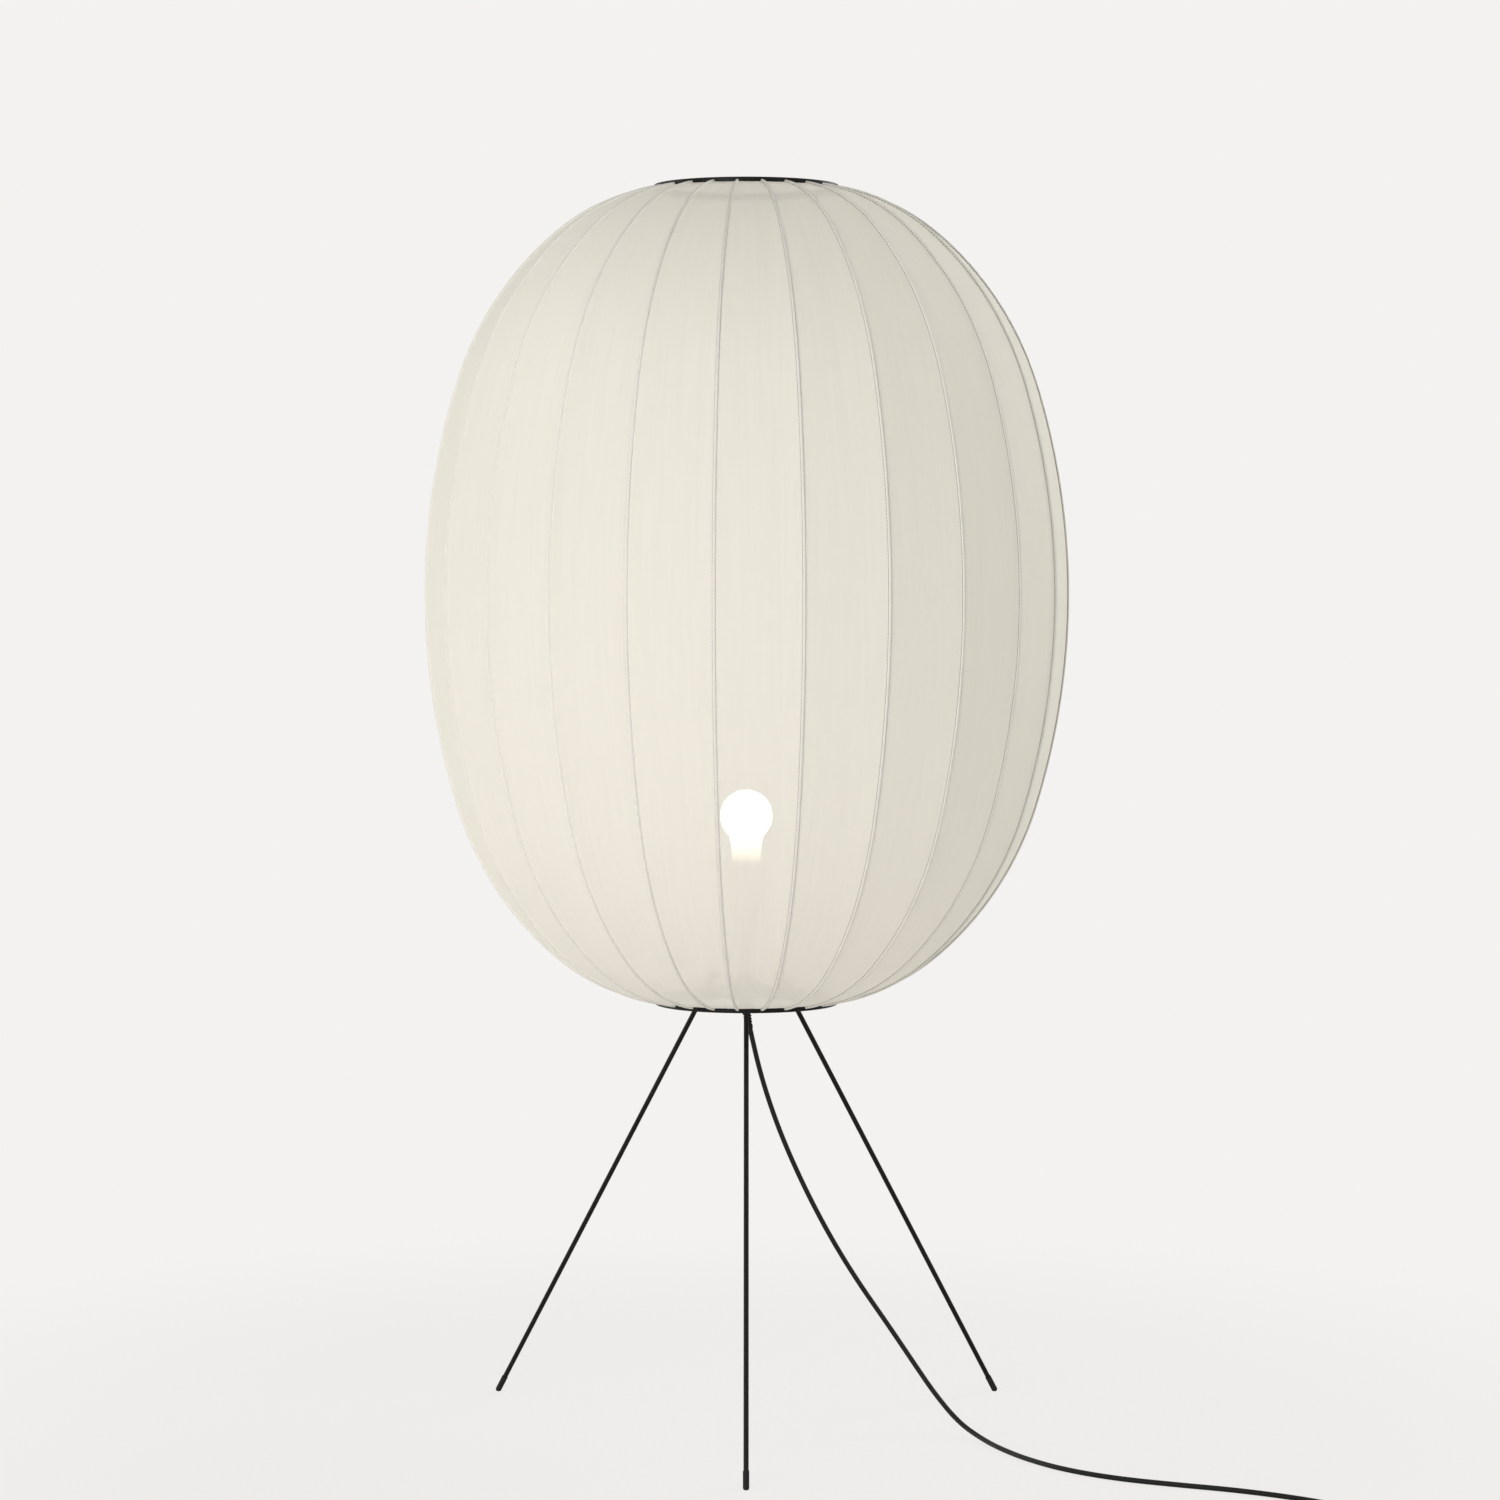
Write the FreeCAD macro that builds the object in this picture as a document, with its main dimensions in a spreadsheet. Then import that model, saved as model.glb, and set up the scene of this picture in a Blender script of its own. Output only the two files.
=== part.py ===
import FreeCAD, Part
import math
import os
import re

import Sketcher

# Floor lamp: a knitted shade stretched over thin ribs between two rings, on three rod legs.
# Millimetres, +Z up, origin on the floor under the shade's axis, front leg towards -Y.

Vector = FreeCAD.Vector
AXIS_X = Vector(1, 0, 0)
AXIS_Y = Vector(0, 1, 0)
AXIS_Z = Vector(0, 0, 1)

doc = FreeCAD.newDocument("knitted_shade_floor_lamp")
sheet = doc.addObject("Spreadsheet::Sheet", "Sizes")

# Driving sizes in millimetres, degrees and counts
DRIVING_SIZES = [
    # shade
    ("total_height", 1250.0),
    ("shade_bottom", 427.0),
    ("rib_radius", 322.5),
    ("rib_count", 24),
    ("rib_phase", -5.3),
    ("rib_diameter", 3.0),
    ("rib_fit", 0.1),
    ("shoulder_radius", 205.0),
    ("side_angle", 17.2),
    ("middle_angle", 49.0),
    ("end_angle", 80.5),
    ("channel_diameter", 4.8),
    ("knit_thickness", 1.0),
    ("seam_gap", 0.1),
    ("hem_gap", 0.3),
    # rings
    ("ring_outer", 93.0),
    ("ring_wall", 7.0),
    ("ring_height", 6.5),
    ("edge_break", 0.8),
    ("socket_depth", 5.5),
    ("socket_end_gap", 0.2),
    # spider and tripod head
    ("spider_thickness", 3.0),
    ("spider_arm_width", 12.0),
    ("spider_washer_radius", 22.0),
    ("spider_screw_radius", 1.5),
    ("spider_screw_depth", 3.0),
    ("screw_head_radius", 2.8),
    ("screw_head_height", 1.8),
    ("screw_fit", 0.05),
    ("head_rim", 1.5),
    ("head_plate_thickness", 5.0),
    ("head_boss_radius", 13.0),
    ("head_boss_height", 16.0),
    ("leg_root_radius", 48.5),
    ("leg_socket_radius", 5.5),
    ("leg_socket_length", 24.0),
    ("leg_socket_depth", 19.0),
    ("grub_radius", 2.0),
    # legs
    ("foot_radius", 303.0),
    ("leg_diameter", 5.0),
    ("leg_fit", 0.05),
    ("tip_wall", 0.5),
    ("tip_length", 16.0),
    ("tip_sole", 2.2),
    # stem
    ("stem_radius", 5.0),
    ("stem_bore_radius", 3.6),
    ("stem_length", 93.0),
    ("thread_fit", 0.05),
    ("nut_height", 6.0),
    ("nut_across_corners", 16.2),
    # strain relief
    ("seat_gap", 0.2),
    ("gland_radius", 6.5),
    ("gland_cup_depth", 6.3),
    ("gland_floor", 2.0),
    ("relief_length", 18.0),
    ("relief_root_radius", 4.6),
    ("relief_tip_radius", 3.0),
    ("relief_lean", 12.0),
    # lampholder
    ("holder_radius", 20.0),
    ("holder_wall", 2.5),
    ("holder_neck_radius", 9.0),
    ("holder_neck_height", 7.0),
    ("holder_thread_depth", 10.0),
    ("holder_cap_height", 28.0),
    ("holder_skirt_height", 38.0),
    ("holder_flare_height", 9.0),
    ("holder_lap", 4.0),
    ("holder_lap_wall", 1.6),
    ("insert_rise", 8.0),
    ("shell_inner_radius", 13.4),
    ("shell_wall", 0.6),
    ("shell_height", 25.0),
    ("contact_rise", 2.2),
    ("contact_thickness", 0.6),
    ("contact_width", 6.0),
    ("contact_length", 11.0),
    # bulb
    ("bulb_gap", 0.3),
    ("bulb_cap_radius", 13.0),
    ("bulb_thread_depth", 0.7),
    ("bulb_thread_pitch", 3.629),
    ("bulb_cap_height", 22.0),
    ("bulb_insulator_height", 2.6),
    ("bulb_tip_radius", 4.6),
    ("bulb_tip_height", 0.9),
    ("globe_radius", 26.5),
    ("bulb_glass_height", 75.0),
    ("bulb_neck_radius", 15.0),
    ("bulb_neck_height", 14.0),
    ("bulb_shoulder_radius", 17.0),
    ("bulb_wall", 1.0),
    # cord, switch, coil and plug
    ("cord_diameter", 5.0),
    ("floor_gap", 0.2),
    ("switch_x", 420.0),
    ("switch_y", -438.0),
    ("switch_length", 70.0),
    ("switch_width", 35.0),
    ("switch_corner", 9.0),
    ("switch_base_height", 9.0),
    ("switch_cover_height", 8.0),
    ("switch_wall", 2.0),
    ("switch_entry_height", 5.0),
    ("nozzle_length", 20.0),
    ("nozzle_root_radius", 4.6),
    ("nozzle_tip_radius", 3.2),
    ("button_radius", 10.0),
    ("button_fit", 0.3),
    ("button_proud", 3.0),
    ("button_travel", 2.5),
    ("button_flange", 2.0),
    ("block_length", 30.0),
    ("block_width", 18.0),
    ("switch_screw_x", 24.0),
    ("switch_screw_y", 10.0),
    ("switch_screw_radius", 1.25),
    ("switch_boss_radius", 3.2),
    ("coil_x", 265.0),
    ("coil_y", -441.0),
    ("coil_radius", 36.0),
    ("coil_pitch", 5.6),
    ("coil_layer_half_turns", 6),
    ("coil_tail", 28.0),
    ("tie_thickness", 0.8),
    ("tie_gap", 0.3),
    ("tie_width", 12.0),
    ("plug_relief_length", 22.0),
    ("plug_relief_radius", 6.0),
    ("plug_length", 40.0),
    ("plug_width", 35.0),
    ("plug_back_width", 18.0),
    ("plug_front_width", 29.0),
    ("plug_slope_length", 12.0),
    ("plug_nose_length", 6.0),
    ("plug_round", 3.0),
    ("pin_radius", 2.0),
    ("pin_length", 19.0),
    ("pin_rooted", 12.0),
    ("pin_spacing", 18.6),
    ("pin_root_radius", 1.6),
    ("pin_fit", 0.02),
]
for row, (alias, number) in enumerate(DRIVING_SIZES, start=1):
    sheet.set(f"A{row}", alias.replace("_", " "))
    sheet.set(f"B{row}", str(number))
    sheet.setAlias(f"B{row}", alias)
doc.recompute()

nodes = []


def bound(formula):
    """A formula in the sheet's own names, written as an expression on the sheet."""
    return re.sub(r"[a-z_]{3,}\b(?!\()", lambda word: "Sizes." + word.group(), formula)


def value(formula):
    """The number that a formula in the sheet's names comes to."""
    return float(sheet.evalExpression(bound(formula)))


def bind(thing, prop, formula):
    thing.setExpression(prop, bound(formula))


def place(thing, x="0", y="0", z="0", axis=AXIS_Z, angle="0"):
    """Stand a thing at a point, turned about one axis, all of it tied to the sheet."""
    point = Vector(value(x), value(y), value(z))
    thing.Placement = FreeCAD.Placement(point, FreeCAD.Rotation(axis, value(angle)))
    for name, formula in (("x", x), ("y", y), ("z", z)):
        if formula != "0":
            bind(thing, f"Placement.Base.{name}", formula)
    if angle != "0":
        bind(thing, "Placement.Rotation.Angle", angle)


def node(thing):
    """Keep a thing as one of the lamp's named pieces."""
    nodes.append(thing)
    return thing


def new_body(label):
    body = doc.addObject("PartDesign::Body", label)
    body.Label = label
    return body


def origin_feature(body, role):
    return next(item for item in body.Origin.OriginFeatures if item.Role == role)


def new_sketch(body, name, plane):
    sketch = body.newObject("Sketcher::SketchObject", name)
    sketch.AttachmentSupport = (origin_feature(body, plane), [""])
    sketch.MapMode = "FlatFace"
    return sketch


def arc_between(start, end, radius):
    """The shorter arc from start to end; a positive radius turns left, a negative one right."""
    chord = end - start
    side = 1 if radius > 0 else -1
    normal = Vector(-chord.y, chord.x, 0).normalize() * side
    reach = math.sqrt(max(radius * radius - chord.Length ** 2 / 4, 0))
    middle = (start + end) / 2 + normal * (reach - abs(radius))
    return Part.Arc(start, middle, end)


def draw(sketch, corners, closed=True):
    """Draw a line through corners, each two formulas, or three where an arc of that radius leaves it."""
    points = [Vector(value(corner[0]), value(corner[1]), 0) for corner in corners]
    side_count = len(corners) if closed else len(corners) - 1
    first = sketch.GeometryCount
    starts = []
    ends = []
    for number in range(side_count):
        start = points[number]
        end = points[(number + 1) % len(points)]
        radius = value(corners[number][2]) if len(corners[number]) == 3 else None
        edge = Part.LineSegment(start, end) if radius is None else arc_between(start, end, radius)
        index = sketch.addGeometry(edge)
        drawn = sketch.Geometry[index]
        forward = (drawn.StartPoint - start).Length < (drawn.EndPoint - start).Length
        starts.append((index, 1 if forward else 2))
        ends.append((index, 2 if forward else 1))
        if radius is not None:
            held = sketch.addConstraint(Sketcher.Constraint("Radius", index, abs(radius)))
            sketch.renameConstraint(held, f"round_{index}")
            bind(sketch, f"Constraints.round_{index}", f"abs({corners[number][2]})")
    for number in range(side_count if closed else side_count - 1):
        following = starts[(number + 1) % side_count]
        sketch.addConstraint(Sketcher.Constraint("Coincident", *ends[number], *following))
    held_points = starts if closed else starts + ends[-1:]
    for number, (corner, point, end) in enumerate(zip(corners, points, held_points)):
        for kind, word, formula, size in (
            ("DistanceX", "across", corner[0], point.x),
            ("DistanceY", "up", corner[1], point.y),
        ):
            name = f"{word}_{first + number}"
            held = sketch.addConstraint(Sketcher.Constraint(kind, -1, 1, *end, size))
            sketch.renameConstraint(held, name)
            bind(sketch, f"Constraints.{name}", formula)


def circle(sketch, x, y, radius):
    """A circle held by its centre and its radius."""
    index = sketch.addGeometry(Part.Circle(Vector(value(x), value(y), 0), AXIS_Z, value(radius)))
    for kind, word, formula in (("DistanceX", "across", x), ("DistanceY", "up", y)):
        held = sketch.addConstraint(Sketcher.Constraint(kind, -1, 1, index, 3, value(formula)))
        sketch.renameConstraint(held, f"{word}_{index}")
        bind(sketch, f"Constraints.{word}_{index}", formula)
    held = sketch.addConstraint(Sketcher.Constraint("Radius", index, value(radius)))
    sketch.renameConstraint(held, f"round_{index}")
    bind(sketch, f"Constraints.round_{index}", radius)


def turned(body, name, corners, kind="Revolution"):
    """Turn a closed half outline, given as radius and height, about the body's Z axis; a Groove cuts."""
    sketch = new_sketch(body, f"{name}_outline", "XZ_Plane")
    draw(sketch, corners)
    feature = body.newObject(f"PartDesign::{kind}", name)
    feature.Profile = sketch
    feature.ReferenceAxis = (sketch, ["V_Axis"])
    feature.Angle = 360
    body.Tip = feature
    return feature


def padded(body, name, corners, height, base="0", both_ways=False):
    """Raise a closed outline from a height on the body's Z axis."""
    sketch = new_sketch(body, f"{name}_outline", "XY_Plane")
    draw(sketch, corners)
    bind(sketch, "AttachmentOffset.Base.z", base)
    feature = body.newObject("PartDesign::Pad", name)
    feature.Profile = sketch
    feature.Midplane = both_ways
    bind(feature, "Length", height)
    body.Tip = feature
    return feature


def pocketed(body, name, corners, depth, base, downwards):
    """Cut a closed outline out of a body, downwards or upwards from a height."""
    before = solid_volume(body)
    sketch = new_sketch(body, f"{name}_outline", "XY_Plane")
    draw(sketch, corners)
    bind(sketch, "AttachmentOffset.Base.z", base)
    feature = body.newObject("PartDesign::Pocket", name)
    feature.Profile = sketch
    feature.Reversed = not downwards
    bind(feature, "Length", depth)
    body.Tip = feature
    if solid_volume(body) >= before:
        raise ValueError(f"{name} cuts nothing")
    return feature


def solid_volume(body):
    doc.recompute()
    return body.Shape.Volume


def drum(body, name, sign, radius, height, x="0", y="0", z="0", axis=AXIS_Z, angle="0"):
    """Add or take away a cylinder that stands at a point of the body."""
    feature = body.newObject(f"PartDesign::{sign}Cylinder", name)
    bind(feature, "Radius", radius)
    bind(feature, "Height", height)
    place(feature, x, y, z, axis, angle)
    body.Tip = feature
    return feature


def cone(body, name, root, tip, length, x="0", y="0", z="0", axis=AXIS_Z, angle="0"):
    """Add a cone from its root to its tip."""
    feature = body.newObject("PartDesign::AdditiveCone", name)
    bind(feature, "Radius1", root)
    bind(feature, "Radius2", tip)
    bind(feature, "Height", length)
    place(feature, x, y, z, axis, angle)
    body.Tip = feature
    return feature


def repeated(body, feature, count):
    """Repeat a feature evenly round the body's Z axis."""
    pattern = body.newObject("PartDesign::PolarPattern", f"{feature.Name}_round")
    pattern.Originals = [feature]
    pattern.Axis = (origin_feature(body, "Z_Axis"), [""])
    pattern.Angle = 360
    bind(pattern, "Occurrences", count)
    body.Tip = pattern
    return pattern


def mirrored(body, feature):
    """The lower half of a piece, as its upper half turned over."""
    mirror = body.newObject("PartDesign::Mirrored", f"{feature.Name}_below")
    mirror.Originals = [feature]
    mirror.MirrorPlane = (origin_feature(body, "XY_Plane"), [""])
    body.Tip = mirror
    return mirror


def rounded(body, name, radius, edge_test):
    """Round those edges of a body that pass a test."""
    doc.recompute()
    base = body.Tip
    edges = [f"Edge{n}" for n, edge in enumerate(base.Shape.Edges, start=1) if edge_test(edge)]
    fillet = body.newObject("PartDesign::Fillet", name)
    fillet.Base = (base, edges)
    bind(fillet, "Radius", radius)
    body.Tip = fillet
    return fillet


def rounded_rectangle(length, width, corner):
    """Corners of a rectangle about the origin, with an arc at each."""
    half_length = f"({length})/2"
    half_width = f"({width})/2"
    return [
        (f"{half_length} - ({corner})", f"-{half_width}", corner),
        (half_length, f"-{half_width} + ({corner})"),
        (half_length, f"{half_width} - ({corner})", corner),
        (f"{half_length} - ({corner})", half_width),
        (f"-{half_length} + ({corner})", half_width, corner),
        (f"-{half_length}", f"{half_width} - ({corner})"),
        (f"-{half_length}", f"-{half_width} + ({corner})", corner),
        (f"-{half_length} + ({corner})", f"-{half_width}"),
    ]


def group_round(label, source, count, start=0.0):
    """Equal pieces round the lamp's axis, kept together as separate solids of one node."""
    doc.recompute()
    group = doc.addObject("Part::Feature", label)
    group.Label = label
    copies = []
    for number in range(count):
        copy = source.Shape.copy()
        copy.rotate(Vector(0, 0, 0), AXIS_Z, start + number * 360 / count)
        copies.append(copy)
    group.Shape = Part.makeCompound(copies)
    return node(group)


def copies_round(labels, source, step):
    """Further copies of a piece, evenly stepped round the lamp's axis, each a node of its own."""
    doc.recompute()
    for number, label in enumerate(labels, start=1):
        turn = FreeCAD.Placement(Vector(0, 0, 0), FreeCAD.Rotation(AXIS_Z, number * value(step)))
        copy = doc.addObject("App::Link", label)
        copy.Label = label
        copy.LinkedObject = source
        copy.Placement = turn.multiply(source.Placement)
        node(copy)


# Heights and places that several pieces share
SHADE_MIDDLE = "(total_height + shade_bottom)/2"
RIB_RISE = "((total_height - shade_bottom - ring_height - socket_depth*cos(end_angle))/2)"
RIB_STEP = "360/rib_count"
HALF_STEP = "(180/rib_count)"
RING_TOP = "(shade_bottom + ring_height)"
HEAD_BASE = f"({RING_TOP} + spider_thickness)"
HEAD_TOP = f"({HEAD_BASE} + head_boss_height)"
GLAND_TOP = f"({RING_TOP} - nut_height - seat_gap)"
GLAND_SEAT = f"({GLAND_TOP} - gland_cup_depth)"
STEM_BOTTOM = f"({GLAND_SEAT} + seat_gap)"
STEM_TOP = f"({STEM_BOTTOM} + stem_length)"
HOLDER_BASE = f"({STEM_TOP} - holder_thread_depth)"
HOLDER_JOIN = f"({HOLDER_BASE} + holder_cap_height)"
INSERT_TOP = f"({HOLDER_JOIN} + insert_rise)"
BULB_TIP = f"({INSERT_TOP} + contact_rise + bulb_gap)"
BULB_CAP_BASE = f"({BULB_TIP} + bulb_tip_height + bulb_insulator_height)"
BULB_CAP_TOP = f"({BULB_CAP_BASE} + bulb_cap_height)"


def meridian(equator, ring, seat=None):
    """The upper half of the shade's side, from its widest point to the ring, as three tangent arcs.

    The shoulder's radius and the three angles are given; the two larger radii follow from the
    shade's width and height. A seat runs straight on into the ring.
    """
    sin_1, sin_2, sin_3 = ("sin(side_angle)", "sin(middle_angle)", "sin(end_angle)")
    cos_1, cos_2, cos_3 = ("cos(side_angle)", "cos(middle_angle)", "cos(end_angle)")
    inward = f"({equator} - {ring} - shoulder_radius*({cos_2} - {cos_3}))"
    upward = f"({RIB_RISE} - shoulder_radius*({sin_3} - {sin_2}))"
    share = f"((1 - {cos_1})*({sin_2} - {sin_1}) - ({cos_1} - {cos_2})*{sin_1})"
    side_radius = f"(({inward}*({sin_2} - {sin_1}) - ({cos_1} - {cos_2})*{upward})/{share})"
    middle_radius = f"(((1 - {cos_1})*{upward} - {sin_1}*{inward})/{share})"
    corners = [
        (equator, "0", side_radius),
        (f"{equator} - {side_radius}*(1 - {cos_1})", f"{side_radius}*{sin_1}", middle_radius),
        (
            f"{ring} + shoulder_radius*({cos_2} - {cos_3})",
            f"{RIB_RISE} - shoulder_radius*({sin_3} - {sin_2})",
            "shoulder_radius",
        ),
        (ring, RIB_RISE),
    ]
    if seat:
        corners.append((f"{ring} - ({seat})*{sin_3}", f"{RIB_RISE} + ({seat})*{cos_3}"))
    return corners


def swept_half(body, name, path_corners):
    """Sweep the section of that name up a path and mirror it below."""
    profile = doc.getObject(f"{name}_section")
    path = new_sketch(body, f"{name}_path", "XZ_Plane")
    draw(path, path_corners, closed=False)
    pipe = body.newObject("PartDesign::AdditivePipe", name)
    pipe.Profile = profile
    pipe.Spine = path
    body.Tip = pipe
    return mirrored(body, pipe)


# Ribs: thin rods bowed from the bottom ring to the top ring, each end pushed into a socket
rib = node(new_body("rib_01"))
rib_section = new_sketch(rib, "rib_section", "XY_Plane")
circle(rib_section, "rib_radius", "0", "rib_diameter/2")
swept_half(rib, "rib", meridian("rib_radius", "ring_outer", "socket_depth - socket_end_gap"))
place(rib, z=SHADE_MIDDLE, angle="rib_phase")
rib_labels = [f"rib_{number:02d}" for number in range(2, int(value("rib_count")) + 1)]
copies_round(rib_labels, rib, RIB_STEP)

# Knitted channels: a narrow eight-sided tube of the knit round each rib, cut back just short of the rings
CHANNEL_SIDES = 8
channel = new_body("channel")
channel_section = new_sketch(channel, "channel_section", "XY_Plane")
for half_width in ("channel_diameter/2", "rib_diameter/2 + rib_fit"):
    reach = f"({half_width})/cos(180/{CHANNEL_SIDES})"
    turns = [f"({corner} + 0.5)*360/{CHANNEL_SIDES}" for corner in range(CHANNEL_SIDES)]
    draw(channel_section, [(f"rib_radius + {reach}*cos({turn})", f"{reach}*sin({turn})") for turn in turns])
swept_half(channel, "channel", meridian("rib_radius", "ring_outer"))
drum(channel, "channel_hem", "Subtractive", "ring_outer + hem_gap", "2*total_height", z="-total_height")
place(channel, z=SHADE_MIDDLE, angle="rib_phase")
group_round("knit_channels", channel, int(value("rib_count")))

# Knitted panels: the taut cloth between two channels, straight across and curved only upwards
panel = new_body("panel")
panel_section = new_sketch(panel, "panel_section", "XY_Plane")
PANEL_MIDDLE = f"rib_radius*cos{HALF_STEP}"
PANEL_REACH = f"(rib_radius*tan{HALF_STEP})"
draw(panel_section, [
    (f"{PANEL_MIDDLE} - knit_thickness/2", f"-{PANEL_REACH}"),
    (f"{PANEL_MIDDLE} + knit_thickness/2", f"-{PANEL_REACH}"),
    (f"{PANEL_MIDDLE} + knit_thickness/2", PANEL_REACH),
    (f"{PANEL_MIDDLE} - knit_thickness/2", PANEL_REACH),
])
swept_half(panel, "panel", meridian(f"({PANEL_MIDDLE})", f"(ring_outer*cos{HALF_STEP})"))
PANEL_EDGE = f"(channel_diameter/2 + seam_gap)/cos{HALF_STEP}"
NEAR = "(ring_outer - ring_wall)"
FAR = "(rib_radius + channel_diameter)"
for side, sign in (("left", ""), ("right", "-")):
    pocketed(panel, f"panel_{side}_edge", [
        (NEAR, f"{sign}({NEAR}*tan{HALF_STEP} - {PANEL_EDGE})"),
        (FAR, f"{sign}({FAR}*tan{HALF_STEP} - {PANEL_EDGE})"),
        (FAR, f"{sign}rib_radius"),
        (NEAR, f"{sign}rib_radius"),
    ], "2*total_height", "total_height", downwards=True)
drum(panel, "panel_hem", "Subtractive", "ring_outer + hem_gap", "2*total_height", z="-total_height")
place(panel, z=SHADE_MIDDLE, angle=f"rib_phase + {HALF_STEP}")
group_round("knit_panels", panel, int(value("rib_count")))


# Shade rings: turned steel hoops with a slanted blind socket for every rib end
def shade_ring(label, height, up):
    """One ring; its sockets rise inwards on the top ring and fall inwards on the bottom one."""
    body = node(new_body(label))
    inner = "ring_outer - ring_wall"
    half = "ring_height/2"
    turned(body, f"{label}_hoop", [
        (f"{inner} + edge_break", f"-{half}"),
        ("ring_outer - edge_break", f"-{half}"),
        ("ring_outer", f"-{half} + edge_break"),
        ("ring_outer", f"{half} - edge_break"),
        ("ring_outer - edge_break", half),
        (f"{inner} + edge_break", half),
        (inner, f"{half} - edge_break"),
        (inner, f"-{half} + edge_break"),
    ])
    sign = "" if up else "-"
    tilt = "-end_angle" if up else "end_angle - 180"
    lead = "ring_wall"
    socket = drum(
        body, f"{label}_socket", "Subtractive", "rib_diameter/2 + rib_fit", f"socket_depth + {lead}",
        x=f"ring_outer + {lead}*sin(end_angle)",
        z=f"{sign}(-socket_depth/2*cos(end_angle) - {lead}*cos(end_angle))",
        axis=AXIS_Y, angle=tilt,
    )
    repeated(body, socket, "rib_count")
    place(body, z=height, angle="rib_phase")
    return body


shade_ring("top_ring", "total_height - ring_height/2", up=True)
bottom_ring = shade_ring("bottom_ring", "shade_bottom + ring_height/2", up=False)

# Tapped holes in the bottom ring's upper face, between the legs, for the spider's screws
SCREW_CIRCLE = "(ring_outer - ring_wall/2)"
tapped = drum(
    bottom_ring, "spider_tapping", "Subtractive", "spider_screw_radius + screw_fit",
    "spider_screw_depth + ring_height",
    x=f"{SCREW_CIRCLE}*sin(rib_phase)", y=f"{SCREW_CIRCLE}*cos(rib_phase)",
    z="ring_height/2 - spider_screw_depth",
)
repeated(bottom_ring, tapped, "3")

# Spider: a flat washer with three arms, screwed on the bottom ring and clamped on the stem
spider = node(new_body("bottom_spider"))
turned(spider, "spider_washer", [
    ("stem_radius + thread_fit", "0"),
    ("spider_washer_radius", "0"),
    ("spider_washer_radius", "spider_thickness"),
    ("stem_radius + thread_fit", "spider_thickness"),
])
arm = padded(spider, "spider_arm", [
    ("spider_washer_radius/2", "-spider_arm_width/2"),
    ("ring_outer - edge_break", "-spider_arm_width/2"),
    ("ring_outer - edge_break", "spider_arm_width/2"),
    ("spider_washer_radius/2", "spider_arm_width/2"),
], "spider_thickness")
repeated(spider, arm, "3")
arm_hole = drum(
    spider, "spider_hole", "Subtractive", "spider_screw_radius + screw_fit", "3*spider_thickness",
    x=SCREW_CIRCLE, z="-spider_thickness",
)
repeated(spider, arm_hole, "3")
place(spider, z=RING_TOP, angle="90")

# Spider screws: low round heads on the arms, threads in the ring
screw = new_body("spider_screw")
turned(screw, "spider_screw_solid", [
    ("0", "-spider_thickness - spider_screw_depth + seat_gap"),
    ("spider_screw_radius", "-spider_thickness - spider_screw_depth + seat_gap"),
    ("spider_screw_radius", "0"),
    ("screw_head_radius", "0"),
    ("screw_head_radius", "screw_head_height/2"),
    ("screw_head_radius - screw_head_height/2", "screw_head_height"),
    ("0", "screw_head_height"),
])
place(screw, y=SCREW_CIRCLE, z=HEAD_BASE)
group_round("spider_screws", screw, 3)

# Tripod head: a plate with a bored boss on the stem and three slanted sockets for the legs
HEAD_PLATE_RADIUS = "(leg_root_radius + head_rim)"
head = node(new_body("tripod_head"))
turned(head, "head_plate", [
    ("stem_radius + thread_fit", "0"),
    (f"{HEAD_PLATE_RADIUS} - edge_break", "0"),
    (HEAD_PLATE_RADIUS, "edge_break"),
    (HEAD_PLATE_RADIUS, "head_plate_thickness - edge_break"),
    (f"{HEAD_PLATE_RADIUS} - edge_break", "head_plate_thickness"),
    ("head_boss_radius", "head_plate_thickness"),
    ("head_boss_radius", "head_boss_height - edge_break"),
    ("head_boss_radius - edge_break", "head_boss_height"),
    ("stem_radius + thread_fit", "head_boss_height"),
])
LEG_SPREAD = f"((foot_radius - leg_root_radius)/{HEAD_BASE})"
LEG_ANGLE = f"atan({LEG_SPREAD})"
GRUB_ANGLE = f"atan(1/{LEG_SPREAD})"
leg_socket = drum(
    head, "leg_socket", "Additive", "leg_socket_radius", "leg_socket_length",
    x="leg_root_radius", axis=AXIS_Y, angle=f"-{LEG_ANGLE}",
)
repeated(head, leg_socket, "3")
leg_bore = drum(
    head, "leg_bore", "Subtractive", "leg_diameter/2 + leg_fit", "leg_socket_depth + leg_socket_radius",
    x=f"leg_root_radius + leg_socket_radius*sin({LEG_ANGLE})", z=f"-leg_socket_radius*cos({LEG_ANGLE})",
    axis=AXIS_Y, angle=f"-{LEG_ANGLE}",
)
repeated(head, leg_bore, "3")
GRUB_ALONG = "(leg_socket_depth*0.6)"
grub_hole = drum(
    head, "grub_hole", "Subtractive", "grub_radius + screw_fit", "2*leg_socket_radius",
    x=f"leg_root_radius - {GRUB_ALONG}*sin({LEG_ANGLE})", z=f"{GRUB_ALONG}*cos({LEG_ANGLE})",
    axis=AXIS_Y, angle=GRUB_ANGLE,
)
repeated(head, grub_hole, "3")
place(head, z=HEAD_BASE, angle="-90")

# Grub screws: one in each leg socket, pressed on the rod
grub = new_body("grub_screw")
drum(grub, "grub_solid", "Additive", "grub_radius", "leg_socket_radius - leg_diameter/2 - leg_fit")
GRUB_OUT = "(leg_diameter/2 + leg_fit)"
place(
    grub,
    y=f"-(leg_root_radius - {GRUB_ALONG}*sin({LEG_ANGLE}) + {GRUB_OUT}*cos({LEG_ANGLE}))",
    z=f"{HEAD_BASE} + {GRUB_ALONG}*cos({LEG_ANGLE}) + {GRUB_OUT}*sin({LEG_ANGLE})",
    axis=AXIS_X, angle=GRUB_ANGLE,
)
group_round("leg_grub_screws", grub, 3)

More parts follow.
